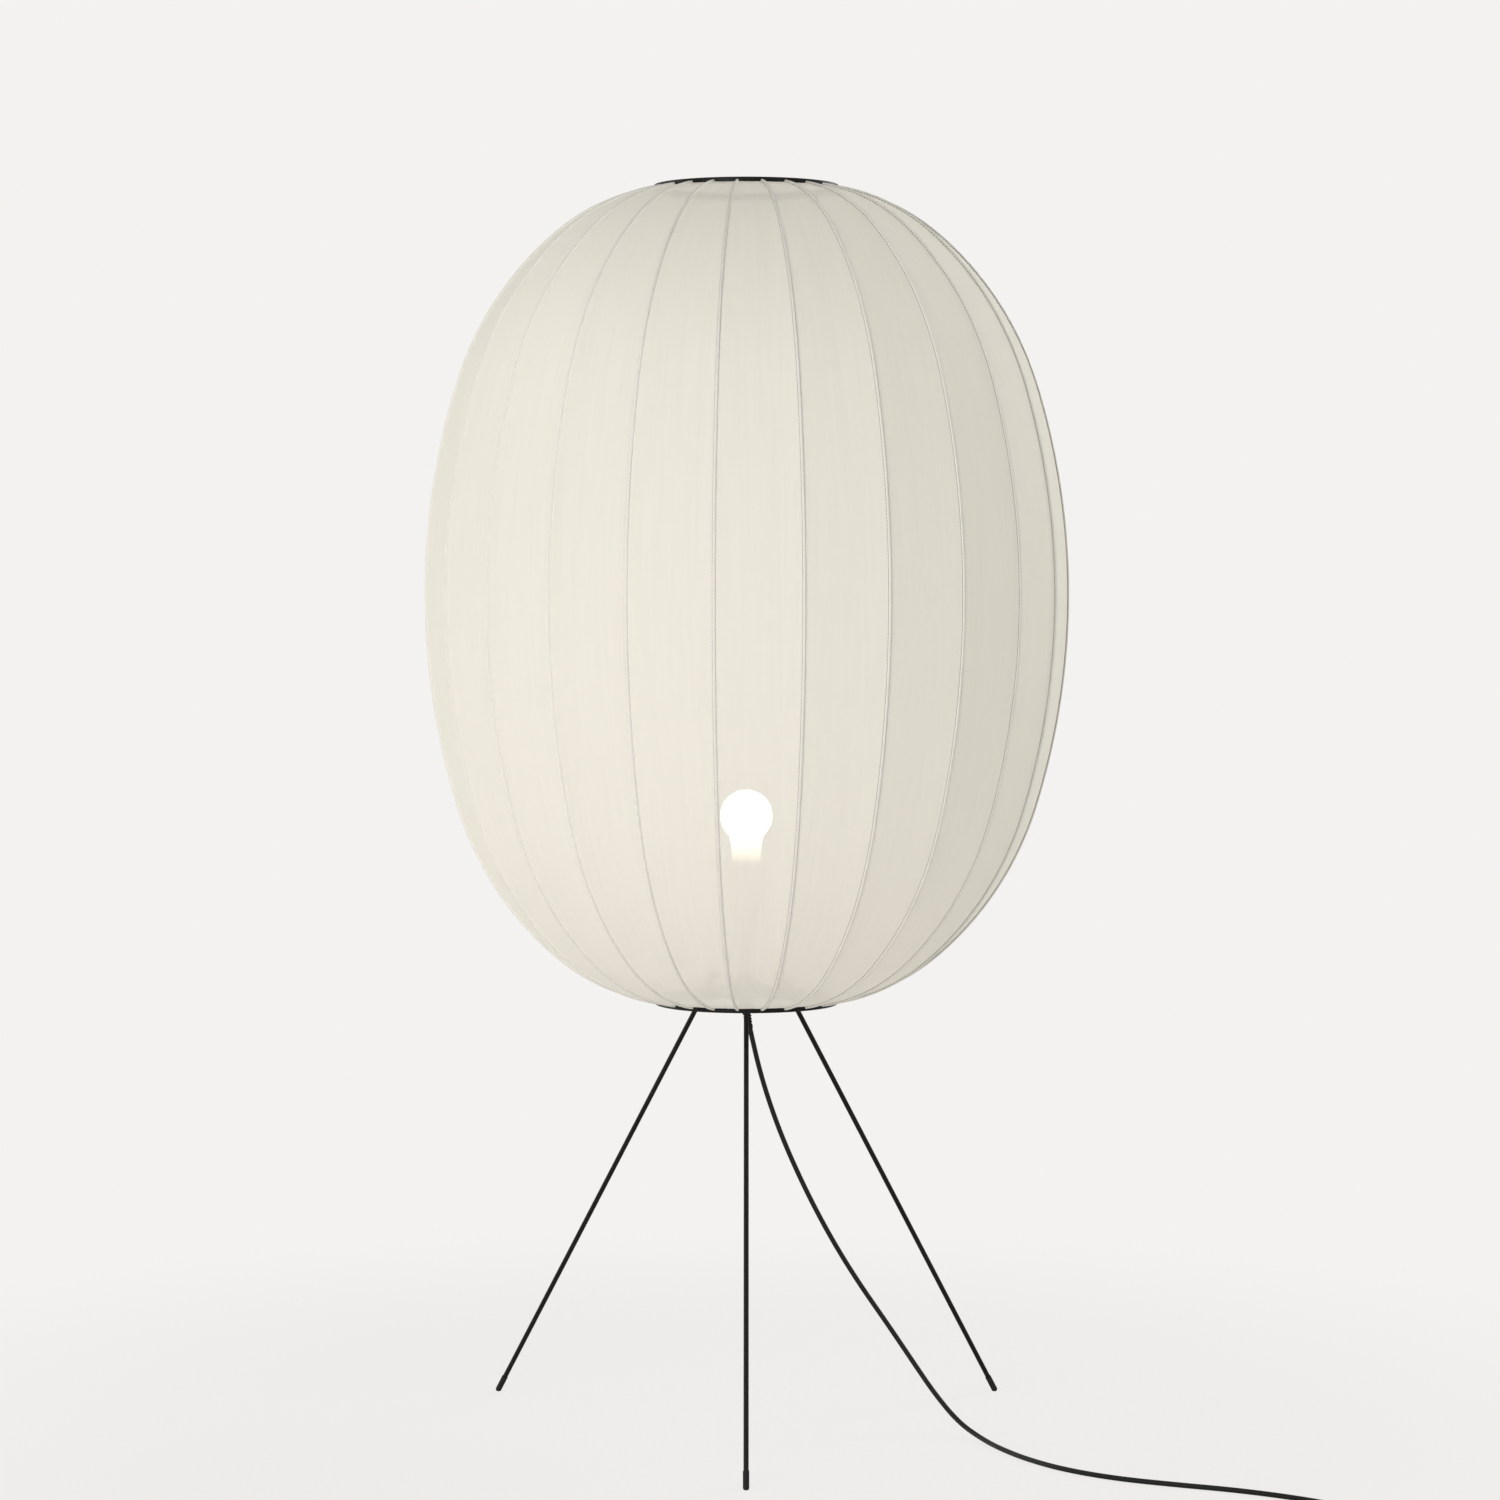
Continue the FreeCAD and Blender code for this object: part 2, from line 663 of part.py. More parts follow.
# Legs: straight steel rods from the head's sockets down to the rubber tips
LEG_TIP = f"(tip_sole/cos({LEG_ANGLE}))"
LEG_LENGTH = f"({HEAD_BASE}/cos({LEG_ANGLE}) + leg_socket_depth - socket_end_gap - {LEG_TIP})"
leg = node(doc.addObject("Part::Cylinder", "leg_front"))
bind(leg, "Radius", "leg_diameter/2")
bind(leg, "Height", LEG_LENGTH)
TIP_SET_IN = f"{LEG_TIP}*sin({LEG_ANGLE})"
place(leg, y=f"-foot_radius + {TIP_SET_IN}", z="tip_sole", axis=AXIS_X, angle=f"-{LEG_ANGLE}")
copies_round(["leg_right", "leg_left"], leg, "120")

# Leg tips: thin rubber caps over the rods, domed, with a flat worn on the floor
tip_sleeve = doc.addObject("Part::Cylinder", "tip_sleeve")
bind(tip_sleeve, "Radius", "leg_diameter/2 + leg_fit + tip_wall")
bind(tip_sleeve, "Height", "tip_length")
tip_dome = doc.addObject("Part::Sphere", "tip_dome")
bind(tip_dome, "Radius", "leg_diameter/2 + leg_fit + tip_wall")
tip_bore = doc.addObject("Part::Cylinder", "tip_bore")
bind(tip_bore, "Radius", "leg_diameter/2 + leg_fit")
bind(tip_bore, "Height", "2*tip_length")
for piece in (tip_sleeve, tip_dome, tip_bore):
    place(piece, y=f"-foot_radius + {TIP_SET_IN}", z="tip_sole", axis=AXIS_X, angle=f"-{LEG_ANGLE}")
tip_floor = doc.addObject("Part::Box", "tip_floor")
bind(tip_floor, "Length", "2*tip_length")
bind(tip_floor, "Width", "2*tip_length")
bind(tip_floor, "Height", "tip_length")
place(tip_floor, x="-tip_length", y="-foot_radius - tip_length", z="-tip_length")
tip_outside = doc.addObject("Part::Fuse", "tip_outside")
tip_outside.Base = tip_sleeve
tip_outside.Tool = tip_dome
tip_hollow = doc.addObject("Part::Cut", "tip_hollow")
tip_hollow.Base = tip_outside
tip_hollow.Tool = tip_bore
tip = doc.addObject("Part::Cut", "leg_tip")
tip.Base = tip_hollow
tip.Tool = tip_floor
group_round("leg_tips", tip, 3)

# Stem: the hollow threaded tube that clamps spider and head and carries the lampholder
stem = node(new_body("stem_tube"))
turned(stem, "stem_solid", [
    ("stem_bore_radius", "0"),
    ("stem_radius", "0"),
    ("stem_radius", "stem_length"),
    ("stem_bore_radius", "stem_length"),
])
place(stem, z=STEM_BOTTOM)


def stem_nut(name, height):
    """A hexagon nut on the stem."""
    block = doc.addObject("Part::Prism", f"{name}_block")
    block.Polygon = 6
    bind(block, "Circumradius", "nut_across_corners/2")
    bind(block, "Height", "nut_height")
    hole = doc.addObject("Part::Cylinder", f"{name}_hole")
    bind(hole, "Radius", "stem_radius + thread_fit")
    bind(hole, "Height", "nut_height")
    nut = doc.addObject("Part::Cut", name)
    nut.Base = block
    nut.Tool = hole
    place(nut, z=height)
    return nut


nut_pair = node(doc.addObject("Part::Compound", "stem_nuts"))
nut_pair.Links = [stem_nut("nut_below", f"{RING_TOP} - nut_height"), stem_nut("nut_above", HEAD_TOP)]

# Strain relief: a cup screwed on the stem's end, with a soft tapered sleeve that leans with the cord
gland = node(new_body("cord_gland"))
turned(gland, "gland_cup", [
    ("0", "-gland_floor"),
    ("gland_radius", "-gland_floor"),
    ("gland_radius", "gland_cup_depth"),
    ("stem_radius + thread_fit", "gland_cup_depth"),
    ("stem_radius + thread_fit", "0"),
    ("0", "0"),
])
SUNK = "gland_floor/2"
cone(
    gland, "gland_relief", "relief_root_radius", "relief_tip_radius", f"relief_length + {SUNK}",
    x=f"-{SUNK}*sin(relief_lean)", z=f"-gland_floor + {SUNK}*cos(relief_lean)",
    axis=AXIS_Y, angle="180 - relief_lean",
)
place(gland, z=GLAND_SEAT)
CORD_EXIT_X = "(relief_length*sin(relief_lean))"
CORD_EXIT_Z = f"({GLAND_SEAT} - gland_floor - relief_length*cos(relief_lean))"

# Cord inside the stem, from the strain relief up to the lampholder's terminals
CORD_TOP = f"({HOLDER_BASE} + holder_neck_height + holder_flare_height - seat_gap)"
inner_cord = node(doc.addObject("Part::Cylinder", "cord_inner"))
bind(inner_cord, "Radius", "cord_diameter/2")
bind(inner_cord, "Height", f"{CORD_TOP} - {GLAND_SEAT}")
place(inner_cord, z=GLAND_SEAT)

# Lampholder cap: the moulded lower cup, screwed on the stem
FLARE_TOP = "(holder_neck_height + holder_flare_height)"
BORE_TOP = "(holder_thread_depth + seat_gap)"
holder_cap = node(new_body("holder_cap"))
turned(holder_cap, "holder_cap_solid", [
    ("stem_radius + thread_fit", "0"),
    ("holder_neck_radius", "0"),
    ("holder_neck_radius", "holder_neck_height"),
    ("holder_radius", FLARE_TOP),
    ("holder_radius", "holder_cap_height"),
    ("holder_radius - holder_wall", "holder_cap_height"),
    ("holder_radius - holder_wall", FLARE_TOP),
    ("stem_radius + thread_fit + holder_wall", BORE_TOP),
    ("stem_radius + thread_fit", BORE_TOP),
])
place(holder_cap, z=HOLDER_BASE)

# Lampholder skirt: the moulded upper sleeve, lapped into the cap
LAP_OUTER = "(holder_radius - holder_wall - screw_fit)"
LAP_INNER = f"({LAP_OUTER} - holder_lap_wall)"
holder_skirt = node(new_body("holder_skirt"))
turned(holder_skirt, "holder_skirt_solid", [
    (LAP_INNER, "-holder_lap"),
    (LAP_OUTER, "-holder_lap"),
    (LAP_OUTER, "0"),
    ("holder_radius", "0"),
    ("holder_radius", "holder_skirt_height - edge_break"),
    ("holder_radius - edge_break", "holder_skirt_height"),
    ("holder_radius - holder_wall", "holder_skirt_height"),
    ("holder_radius - holder_wall", "holder_lap"),
    (LAP_INNER, "holder_lap"),
])
place(holder_skirt, z=HOLDER_JOIN)

# Lampholder insert: the insulating block that carries the contacts, seated on the cap's flare
INSERT_BASE = f"({HOLDER_BASE} + {FLARE_TOP} + seat_gap)"
holder_insert = node(new_body("holder_insert"))
turned(holder_insert, "holder_insert_solid", [
    ("0", "0"),
    (f"{LAP_INNER} - seat_gap", "0"),
    (f"{LAP_INNER} - seat_gap", f"{INSERT_TOP} - {INSERT_BASE}"),
    ("0", f"{INSERT_TOP} - {INSERT_BASE}"),
])
place(holder_insert, z=INSERT_BASE)

# Screw shell: the thin brass sleeve that takes the bulb's cap
screw_shell = node(new_body("screw_shell"))
turned(screw_shell, "screw_shell_solid", [
    ("contact_length", "0"),
    ("shell_inner_radius + shell_wall", "0"),
    ("shell_inner_radius + shell_wall", "shell_height"),
    ("shell_inner_radius", "shell_height"),
    ("shell_inner_radius", "shell_wall"),
    ("contact_length", "shell_wall"),
])
place(screw_shell, z=INSERT_TOP)

# Centre contact: a sprung brass tongue, riveted flat on the insert and bent up under the bulb's tip
contact = node(new_body("centre_contact"))
contact_sketch = new_sketch(contact, "contact_outline", "XZ_Plane")
draw(contact_sketch, [
    ("-contact_length + shell_wall", "0"),
    ("-contact_length/2", "0"),
    ("0", "contact_rise - contact_thickness"),
    ("contact_length/4", "contact_rise - contact_thickness"),
    ("contact_length/4", "contact_rise"),
    ("-contact_thickness/2", "contact_rise"),
    ("-contact_length/2 - contact_thickness/2", "contact_thickness"),
    ("-contact_length + shell_wall", "contact_thickness"),
])
contact_pad = contact.newObject("PartDesign::Pad", "contact_solid")
contact_pad.Profile = contact_sketch
contact_pad.Midplane = True
bind(contact_pad, "Length", "contact_width")
contact.Tip = contact_pad
place(contact, z=INSERT_TOP)

# Bulb tip: the soldered contact and its dark insulator, which rise and fall as the bulb is turned
INSULATOR_TOP = "(bulb_tip_height + bulb_insulator_height - seat_gap)"
bulb_tip = node(new_body("bulb_tip"))
turned(bulb_tip, "bulb_tip_solid", [
    ("0", "0"),
    ("bulb_tip_radius/2", "0"),
    ("bulb_tip_radius", "bulb_tip_height"),
    ("bulb_cap_radius - bulb_thread_depth - shell_wall", INSULATOR_TOP),
    ("0", INSULATOR_TOP),
])
place(bulb_tip, z=BULB_TIP)

# Bulb cap: a drawn sleeve with a rounded thread, shown as closed ridges
THREAD_TURNS = 5
bulb_cap = node(new_body("bulb_cap"))
cap_root = "bulb_cap_radius - bulb_thread_depth"
cap_corners = [(f"{cap_root} - shell_wall", "0"), (cap_root, "0")]
for turn in range(THREAD_TURNS):
    cap_corners.append((cap_root, f"({turn} + 0.5)*bulb_thread_pitch"))
    cap_corners.append(("bulb_cap_radius", f"({turn} + 0.75)*bulb_thread_pitch"))
    cap_corners.append(("bulb_cap_radius", f"({turn} + 1)*bulb_thread_pitch"))
    cap_corners.append((cap_root, f"({turn} + 1.25)*bulb_thread_pitch"))
cap_corners += [(cap_root, "bulb_cap_height"), (f"{cap_root} - shell_wall", "bulb_cap_height")]
turned(bulb_cap, "bulb_cap_solid", cap_corners)
place(bulb_cap, z=BULB_CAP_BASE)

# Bulb glass: a frosted globe that narrows to a collar on the cap
GLOBE_MIDDLE = "(bulb_glass_height - globe_radius)"
SHOULDER_HEIGHT = f"({GLOBE_MIDDLE} - sqrt(globe_radius^2 - bulb_shoulder_radius^2))"
GLOBE_INNER = "(globe_radius - bulb_wall)"
SHOULDER_INNER = "(bulb_shoulder_radius - bulb_wall)"
bulb_glass = node(new_body("bulb_glass"))
turned(bulb_glass, "bulb_glass_solid", [
    ("0", "0"),
    (cap_root, "0"),
    ("bulb_neck_radius", "bulb_wall"),
    ("bulb_neck_radius", "bulb_neck_height"),
    ("bulb_shoulder_radius", SHOULDER_HEIGHT, "globe_radius"),
    ("globe_radius", GLOBE_MIDDLE, "globe_radius"),
    ("0", "bulb_glass_height"),
])
turned(bulb_glass, "bulb_glass_hollow", [
    ("0", "0"),
    (f"{cap_root} - bulb_wall", "0"),
    (f"{cap_root} - bulb_wall", "bulb_wall"),
    ("bulb_neck_radius - bulb_wall", "2*bulb_wall"),
    ("bulb_neck_radius - bulb_wall", "bulb_neck_height"),
    (SHOULDER_INNER, f"{GLOBE_MIDDLE} - sqrt({GLOBE_INNER}^2 - {SHOULDER_INNER}^2)", GLOBE_INNER),
    (GLOBE_INNER, GLOBE_MIDDLE, GLOBE_INNER),
    ("0", "bulb_glass_height - bulb_wall"),
], kind="Groove")
place(bulb_glass, z=f"{BULB_CAP_TOP} + seat_gap")


def tube(label, points):
    """A cord's tube along straight runs joined by arcs, each as large as its two runs allow."""
    radius = value("cord_diameter/2")
    edges = []
    here = points[0]
    length = 0.0
    radii = []
    for before, corner, after in zip(points, points[1:], points[2:]):
        inward = (before - corner).normalize()
        outward = (after - corner).normalize()
        turn = math.pi - inward.getAngle(outward)
        shorter = min((before - corner).Length, (after - corner).Length)
        reach = 0.45 * shorter
        bend = reach / math.tan(turn / 2)
        start = corner + inward * reach
        end = corner + outward * reach
        towards = (inward + outward).normalize()
        middle = corner + towards * (bend / math.cos(turn / 2) - bend)
        edges.append(Part.LineSegment(here, start).toShape())
        edges.append(Part.Arc(start, middle, end).toShape())
        length += (start - here).Length + bend * turn
        radii.append(bend)
        here = end
    edges.append(Part.LineSegment(here, points[-1]).toShape())
    length += (points[-1] - here).Length
    path = Part.Wire(edges)
    section = Part.Wire([Part.Circle(points[0], points[1] - points[0], radius).toShape()])
    shape = path.makePipeShell([section], True, False)
    expected = math.pi * radius * radius * length
    print(f"{label}: length {length:.1f} mm, volume {shape.Volume / expected:.4f} of section times length")
    print(f"{label}: bend radii", " ".join(f"{bend:.0f}" for bend in radii))
    cord = doc.addObject("Part::Feature", label)
    cord.Label = label
    cord.Shape = shape
    return node(cord)


# Cord from the strain relief down to the floor and along it to the switch
CORD_REST = value("cord_diameter/2 + floor_gap")
ENTRY_HEIGHT = value("switch_entry_height")
DROP_POINTS = [
    (19.5, -1, 338),
    (33, -2, 299),
    (50, -3, 259),
    (69.5, -5, 219),
    (91, -7, 180),
    (115, -10, 142),
    (142, -15, 104),
    (167, -24, 68),
    (190, -39, 36),
    (213, -63, 12),
    (235, -97, CORD_REST),
    (251, -141, CORD_REST),
    (274, -187, CORD_REST),
    (307, -231, CORD_REST),
    (352, -267, CORD_REST),
    (405, -292, CORD_REST),
    (459, -314, CORD_REST),
    (508, -343, CORD_REST),
    (548, -376, CORD_REST),
    (552, -411, CORD_REST),
    (528, -437, 3.4),
    (498, -438, ENTRY_HEIGHT),
]
FIRST_RUN = 29.0
cord_start = Vector(value(CORD_EXIT_X), 0, value(CORD_EXIT_Z))
cord_lean = Vector(value("sin(relief_lean)"), 0, value("-cos(relief_lean)"))
NOZZLE_REACH = "(switch_length/2 + nozzle_length)"
cord_end = Vector(value(f"switch_x + {NOZZLE_REACH}"), value("switch_y"), ENTRY_HEIGHT)
drop_points = [Vector(*point) for point in DROP_POINTS]
tube("cord_drop", [cord_start, cord_start + cord_lean * FIRST_RUN] + drop_points + [cord_end])

# Put-away coil: one unbroken tube that spirals in on the lower layer, climbs half a turn, and spirals out
COIL_LOW = value("tie_thickness + tie_gap + cord_diameter/2")
COIL_HIGH = COIL_LOW + value("coil_pitch")
COIL_X = value("coil_x")
COIL_Y = value("coil_y")
HALF_TURNS = int(value("coil_layer_half_turns"))
SPIRAL_STEP = value("coil_pitch/2")
lead_straight = value("cord_diameter")


def half_turn(top_y, radius, low, high, downwards):
    """Two tangent arcs from the coil's far side to its near one, or back, always the same way round."""
    sign = -1 if downwards else 1
    start = Vector(COIL_X, top_y, low)
    end = Vector(COIL_X, top_y + sign * 2 * radius, high)
    span = end - start
    reach = span.Length / 2
    bulge = AXIS_X * (sign * reach)
    middle = (start + end) / 2 + bulge
    across = bulge.normalize()
    centre = (start + end) / 2
    first_way = (start - centre).normalize()
    quarter = math.sqrt(0.5)
    first = centre + (first_way + across) * (reach * quarter)
    second = centre + (across - first_way) * (reach * quarter)
    arcs = [Part.Arc(start, first, middle).toShape(), Part.Arc(middle, second, end).toShape()]
    return arcs, end.y


coil_radius = value("coil_radius")
coil_edges = []
coil_y = COIL_Y + coil_radius
coil_start = Vector(COIL_X + lead_straight, coil_y, COIL_LOW)
coil_edges.append(Part.LineSegment(coil_start, Vector(COIL_X, coil_y, COIL_LOW)).toShape())
turn_radius = coil_radius
downwards = True
for number in range(2 * HALF_TURNS + 1):
    low = COIL_LOW if number <= HALF_TURNS else COIL_HIGH
    high = COIL_LOW if number < HALF_TURNS else COIL_HIGH
    arcs, coil_y = half_turn(coil_y, turn_radius, low, high, downwards)
    coil_edges += arcs
    turn_radius += -SPIRAL_STEP if number < HALF_TURNS else SPIRAL_STEP
    downwards = not downwards
coil_end = Vector(COIL_X + value("coil_tail"), coil_y, COIL_HIGH)
coil_edges.append(Part.LineSegment(Vector(COIL_X, coil_y, COIL_HIGH), coil_end).toShape())
coil_path = Part.Wire(coil_edges)
coil_section = Part.Wire([Part.Circle(coil_start, AXIS_X, value("cord_diameter/2")).toShape()])
coil = node(doc.addObject("Part::Feature", "cord_coil"))
coil.Shape = coil_path.makePipeShell([coil_section], True, False)


def least_gap(wire, diameter):
    """The least space between two stretches of a wound tube, measured on points along it."""
    points = wire.discretize(Distance=diameter / 4)
    skip = 12
    nearest = min(
        (first - second).Length
        for number, first in enumerate(points)
        for second in points[number + skip:]
    )
    return nearest - diameter


coil_expected = math.pi * value("cord_diameter/2") ** 2 * coil_path.Length
coil_share = coil.Shape.Volume / coil_expected
print(f"cord_coil: length {coil_path.Length:.1f} mm, volume {coil_share:.4f} of expected")
print(f"cord_coil: least gap to itself {least_gap(coil_path, value('cord_diameter')):.2f} mm")

# Cord from the switch to the coil
RUN_POINTS = [
    (341, -438, ENTRY_HEIGHT),
    (316, -421, COIL_LOW),
    (293, -405, COIL_LOW),
]
run_start = Vector(value(f"switch_x - {NOZZLE_REACH}"), value("switch_y"), ENTRY_HEIGHT)
tube("cord_run", [run_start] + [Vector(*point) for point in RUN_POINTS] + [coil_start])

# Coil tie: a flat strap closed round the turns on the coil's far side from the plug
TIE_OUTER = "(coil_radius + cord_diameter/2 + tie_gap)"
COIL_HOLE = "(coil_radius - coil_pitch/2*coil_layer_half_turns - cord_diameter/2)"
TIE_INNER = f"(sqrt({COIL_HOLE}^2 - (tie_width/2)^2) - tie_gap)"
TIE_HEIGHT = "(cord_diameter + coil_pitch + 2*tie_gap)"
tie = node(new_body("coil_tie"))
tie_sketch = new_sketch(tie, "tie_outline", "XZ_Plane")
draw(tie_sketch, [
    (f"-{TIE_OUTER} - tie_thickness", "0"),
    (f"-{TIE_INNER} + tie_thickness", "0"),
    (f"-{TIE_INNER} + tie_thickness", f"{TIE_HEIGHT} + 2*tie_thickness"),
    (f"-{TIE_OUTER} - tie_thickness", f"{TIE_HEIGHT} + 2*tie_thickness"),
])
draw(tie_sketch, [
    (f"-{TIE_OUTER}", "tie_thickness"),
    (f"-{TIE_INNER}", "tie_thickness"),
    (f"-{TIE_INNER}", f"{TIE_HEIGHT} + tie_thickness"),
    (f"-{TIE_OUTER}", f"{TIE_HEIGHT} + tie_thickness"),
])
tie_pad = tie.newObject("PartDesign::Pad", "tie_band")
tie_pad.Profile = tie_sketch
tie_pad.Midplane = True
bind(tie_pad, "Length", "tie_width")
tie.Tip = tie_pad
place(tie, x="coil_x", y="coil_y")

# Switch base: a moulded tray with a tapered nozzle for the cord at each end
SWITCH_SCREWS = (("one", ""), ("two", "-"))
INNER_LENGTH = "switch_length - 2*switch_wall"
INNER_WIDTH = "switch_width - 2*switch_wall"
INNER_CORNER = "switch_corner - switch_wall"
COVER_TOP = "(switch_base_height + switch_cover_height)"
switch_base = node(new_body("switch_base"))
padded(switch_base, "base_block", rounded_rectangle("switch_length", "switch_width", "switch_corner"),
       "switch_base_height")
pocketed(switch_base, "base_hollow", rounded_rectangle(INNER_LENGTH, INNER_WIDTH, INNER_CORNER),
         "switch_base_height - switch_wall", "switch_base_height", downwards=True)
for side, sign in SWITCH_SCREWS:
    drum(switch_base, f"base_boss_{side}", "Additive", "switch_boss_radius", "switch_base_height",
         x=f"{sign}switch_screw_x", y=f"{sign}switch_screw_y")
    drum(switch_base, f"base_hole_{side}", "Subtractive", "switch_screw_radius + screw_fit",
         "2*switch_base_height", x=f"{sign}switch_screw_x", y=f"{sign}switch_screw_y")
    drum(switch_base, f"base_counterbore_{side}", "Subtractive", "2*switch_screw_radius", "switch_wall",
         x=f"{sign}switch_screw_x", y=f"{sign}switch_screw_y")
for side, sign, angle in (("right", "", "90"), ("left", "-", "-90")):
    cone(switch_base, f"base_nozzle_{side}", "nozzle_root_radius", "nozzle_tip_radius",
         "nozzle_length + switch_wall", x=f"{sign}(switch_length/2 - switch_wall)", z="switch_entry_height",
         axis=AXIS_Y, angle=angle)
place(switch_base, x="switch_x", y="switch_y")

# Switch cover: the moulded lid with a round opening for the button
switch_cover = node(new_body("switch_cover"))
padded(switch_cover, "cover_block", rounded_rectangle("switch_length", "switch_width", "switch_corner"),
       "switch_cover_height")
rounded(switch_cover, "cover_round", "switch_wall*0.9",
        lambda edge: edge.BoundBox.ZMin > value("switch_cover_height") - 0.01)
pocketed(switch_cover, "cover_hollow", rounded_rectangle(INNER_LENGTH, INNER_WIDTH, INNER_CORNER),
         "switch_cover_height - switch_wall", "0", downwards=False)
drum(switch_cover, "cover_opening", "Subtractive", "button_radius + button_fit", "2*switch_cover_height")
for side, sign in SWITCH_SCREWS:
    drum(switch_cover, f"cover_boss_{side}", "Additive", "switch_boss_radius",
         "switch_cover_height - switch_wall/2", x=f"{sign}switch_screw_x", y=f"{sign}switch_screw_y")
    drum(switch_cover, f"cover_hole_{side}", "Subtractive", "switch_screw_radius + screw_fit",
         "switch_cover_height - switch_wall", x=f"{sign}switch_screw_x", y=f"{sign}switch_screw_y")
place(switch_cover, x="switch_x", y="switch_y", z="switch_base_height")

# Switch button: a shallow dome with a flange that keeps it under the lid
BUTTON_TOP = f"({COVER_TOP} + button_proud)"
FLANGE_TOP = f"({COVER_TOP} - switch_wall - button_fit)"
button = node(new_body("switch_button"))
turned(button, "button_solid", [
    ("0", f"{FLANGE_TOP} - switch_wall"),
    ("button_radius + button_flange", f"{FLANGE_TOP} - switch_wall"),
    ("button_radius + button_flange", FLANGE_TOP),
    ("button_radius", FLANGE_TOP),
    ("button_radius", f"{BUTTON_TOP} - edge_break"),
    ("button_radius - edge_break", f"{BUTTON_TOP}"),
    ("0", BUTTON_TOP),
])
place(button, x="switch_x", y="switch_y")

# Switch block: the sprung, latching contact block on the tray's floor, under the button's travel
BLOCK_HEIGHT = f"({FLANGE_TOP} - button_travel - button_fit - 2*switch_wall)"
block = node(doc.addObject("Part::Box", "switch_block"))
bind(block, "Length", "block_length")
bind(block, "Width", "block_width")
bind(block, "Height", BLOCK_HEIGHT)
place(block, x="switch_x - block_length/2", y="switch_y - block_width/2", z="switch_wall")

# Switch screws: two, from below, threaded into the lid's bosses
screw_pair = []
for side, sign in SWITCH_SCREWS:
    switch_screw = new_body(f"switch_screw_{side}")
    turned(switch_screw, f"switch_screw_solid_{side}", [
        ("0", "seat_gap"),
        ("2*switch_screw_radius - screw_fit", "seat_gap"),
        ("2*switch_screw_radius - screw_fit", "switch_wall"),
        ("switch_screw_radius", "switch_wall"),
        ("switch_screw_radius", f"{COVER_TOP} - switch_wall - seat_gap"),
        ("0", f"{COVER_TOP} - switch_wall - seat_gap"),
    ])
    place(switch_screw, x=f"switch_x + ({sign}switch_screw_x)", y=f"switch_y + ({sign}switch_screw_y)")
    screw_pair.append(switch_screw)
switch_screws = node(doc.addObject("Part::Compound", "switch_screws"))
switch_screws.Links = screw_pair

# Plug: a moulded two-pin body with a tapered relief on the cord's end
PLUG_X = "(coil_x + coil_tail)"
PLUG_Y = "(coil_y - coil_radius)"
PLUG_Z = "(tie_thickness + tie_gap + cord_diameter/2 + coil_pitch)"
PLUG_BACK = "plug_relief_length"
PLUG_FRONT = "(plug_relief_length + plug_length)"
plug_body = node(new_body("plug_body"))
padded(plug_body, "plug_block", [
    (PLUG_BACK, "-plug_back_width/2"),
    (f"{PLUG_BACK} + plug_slope_length", "-plug_width/2"),
    (f"{PLUG_FRONT} - plug_nose_length", "-plug_width/2"),
    (PLUG_FRONT, "-plug_front_width/2"),
    (PLUG_FRONT, "plug_front_width/2"),
    (f"{PLUG_FRONT} - plug_nose_length", "plug_width/2"),
    (f"{PLUG_BACK} + plug_slope_length", "plug_width/2"),
    (PLUG_BACK, "plug_back_width/2"),
], f"2*{PLUG_Z}", both_ways=True)
rounded(plug_body, "plug_rounding", "plug_round", lambda edge: True)
cone(plug_body, "plug_relief", "nozzle_tip_radius", "plug_relief_radius", "plug_relief_length + plug_round",
     axis=AXIS_Y, angle="90")
for side, sign in (("left", ""), ("right", "-")):
    drum(
        plug_body, f"pin_hole_{side}", "Subtractive", "pin_root_radius + pin_fit", "pin_rooted + pin_length",
        x=f"{PLUG_FRONT} - pin_rooted", y=f"{sign}pin_spacing/2", axis=AXIS_Y, angle="90",
    )
place(plug_body, x=PLUG_X, y=PLUG_Y, z=PLUG_Z)

# Plug pins: two round brass pins with rounded ends
pin_pair = []
for side, sign in (("left", ""), ("right", "-")):
    pin = new_body(f"plug_pin_{side}")
    turned(pin, f"plug_pin_solid_{side}", [
        ("0", "pin_fit"),
        ("pin_root_radius", "pin_fit"),
        ("pin_root_radius", "pin_rooted"),
        ("pin_radius", "pin_rooted"),
        ("pin_radius", "pin_rooted + pin_length - pin_radius", "pin_radius"),
        ("0", "pin_rooted + pin_length"),
    ])
    place(pin, x=f"{PLUG_X} + {PLUG_FRONT} - pin_rooted", y=f"{PLUG_Y} + ({sign}pin_spacing/2)", z=PLUG_Z,
          axis=AXIS_Y, angle="90")
    pin_pair.append(pin)
plug_pins = node(doc.addObject("Part::Compound", "plug_pins"))
plug_pins.Links = pin_pair

# Check every object, then write each piece
doc.recompute()
for item in doc.Objects:
    if "Invalid" in item.State or "Error" in item.State:
        raise ValueError(f"{item.Label} failed: {item.State}")
os.makedirs("parts", exist_ok=True)
for item in nodes:
    shape = Part.getShape(item)
    if shape.isNull() or not shape.isValid():
        raise ValueError(f"{item.Label} has no valid shape")
for item in nodes:
    Part.getShape(item).exportStep(f"parts/{item.Label}.step")
print(len(nodes), "pieces written")
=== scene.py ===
import math

import bmesh
import bpy
from mathutils import Matrix, Vector


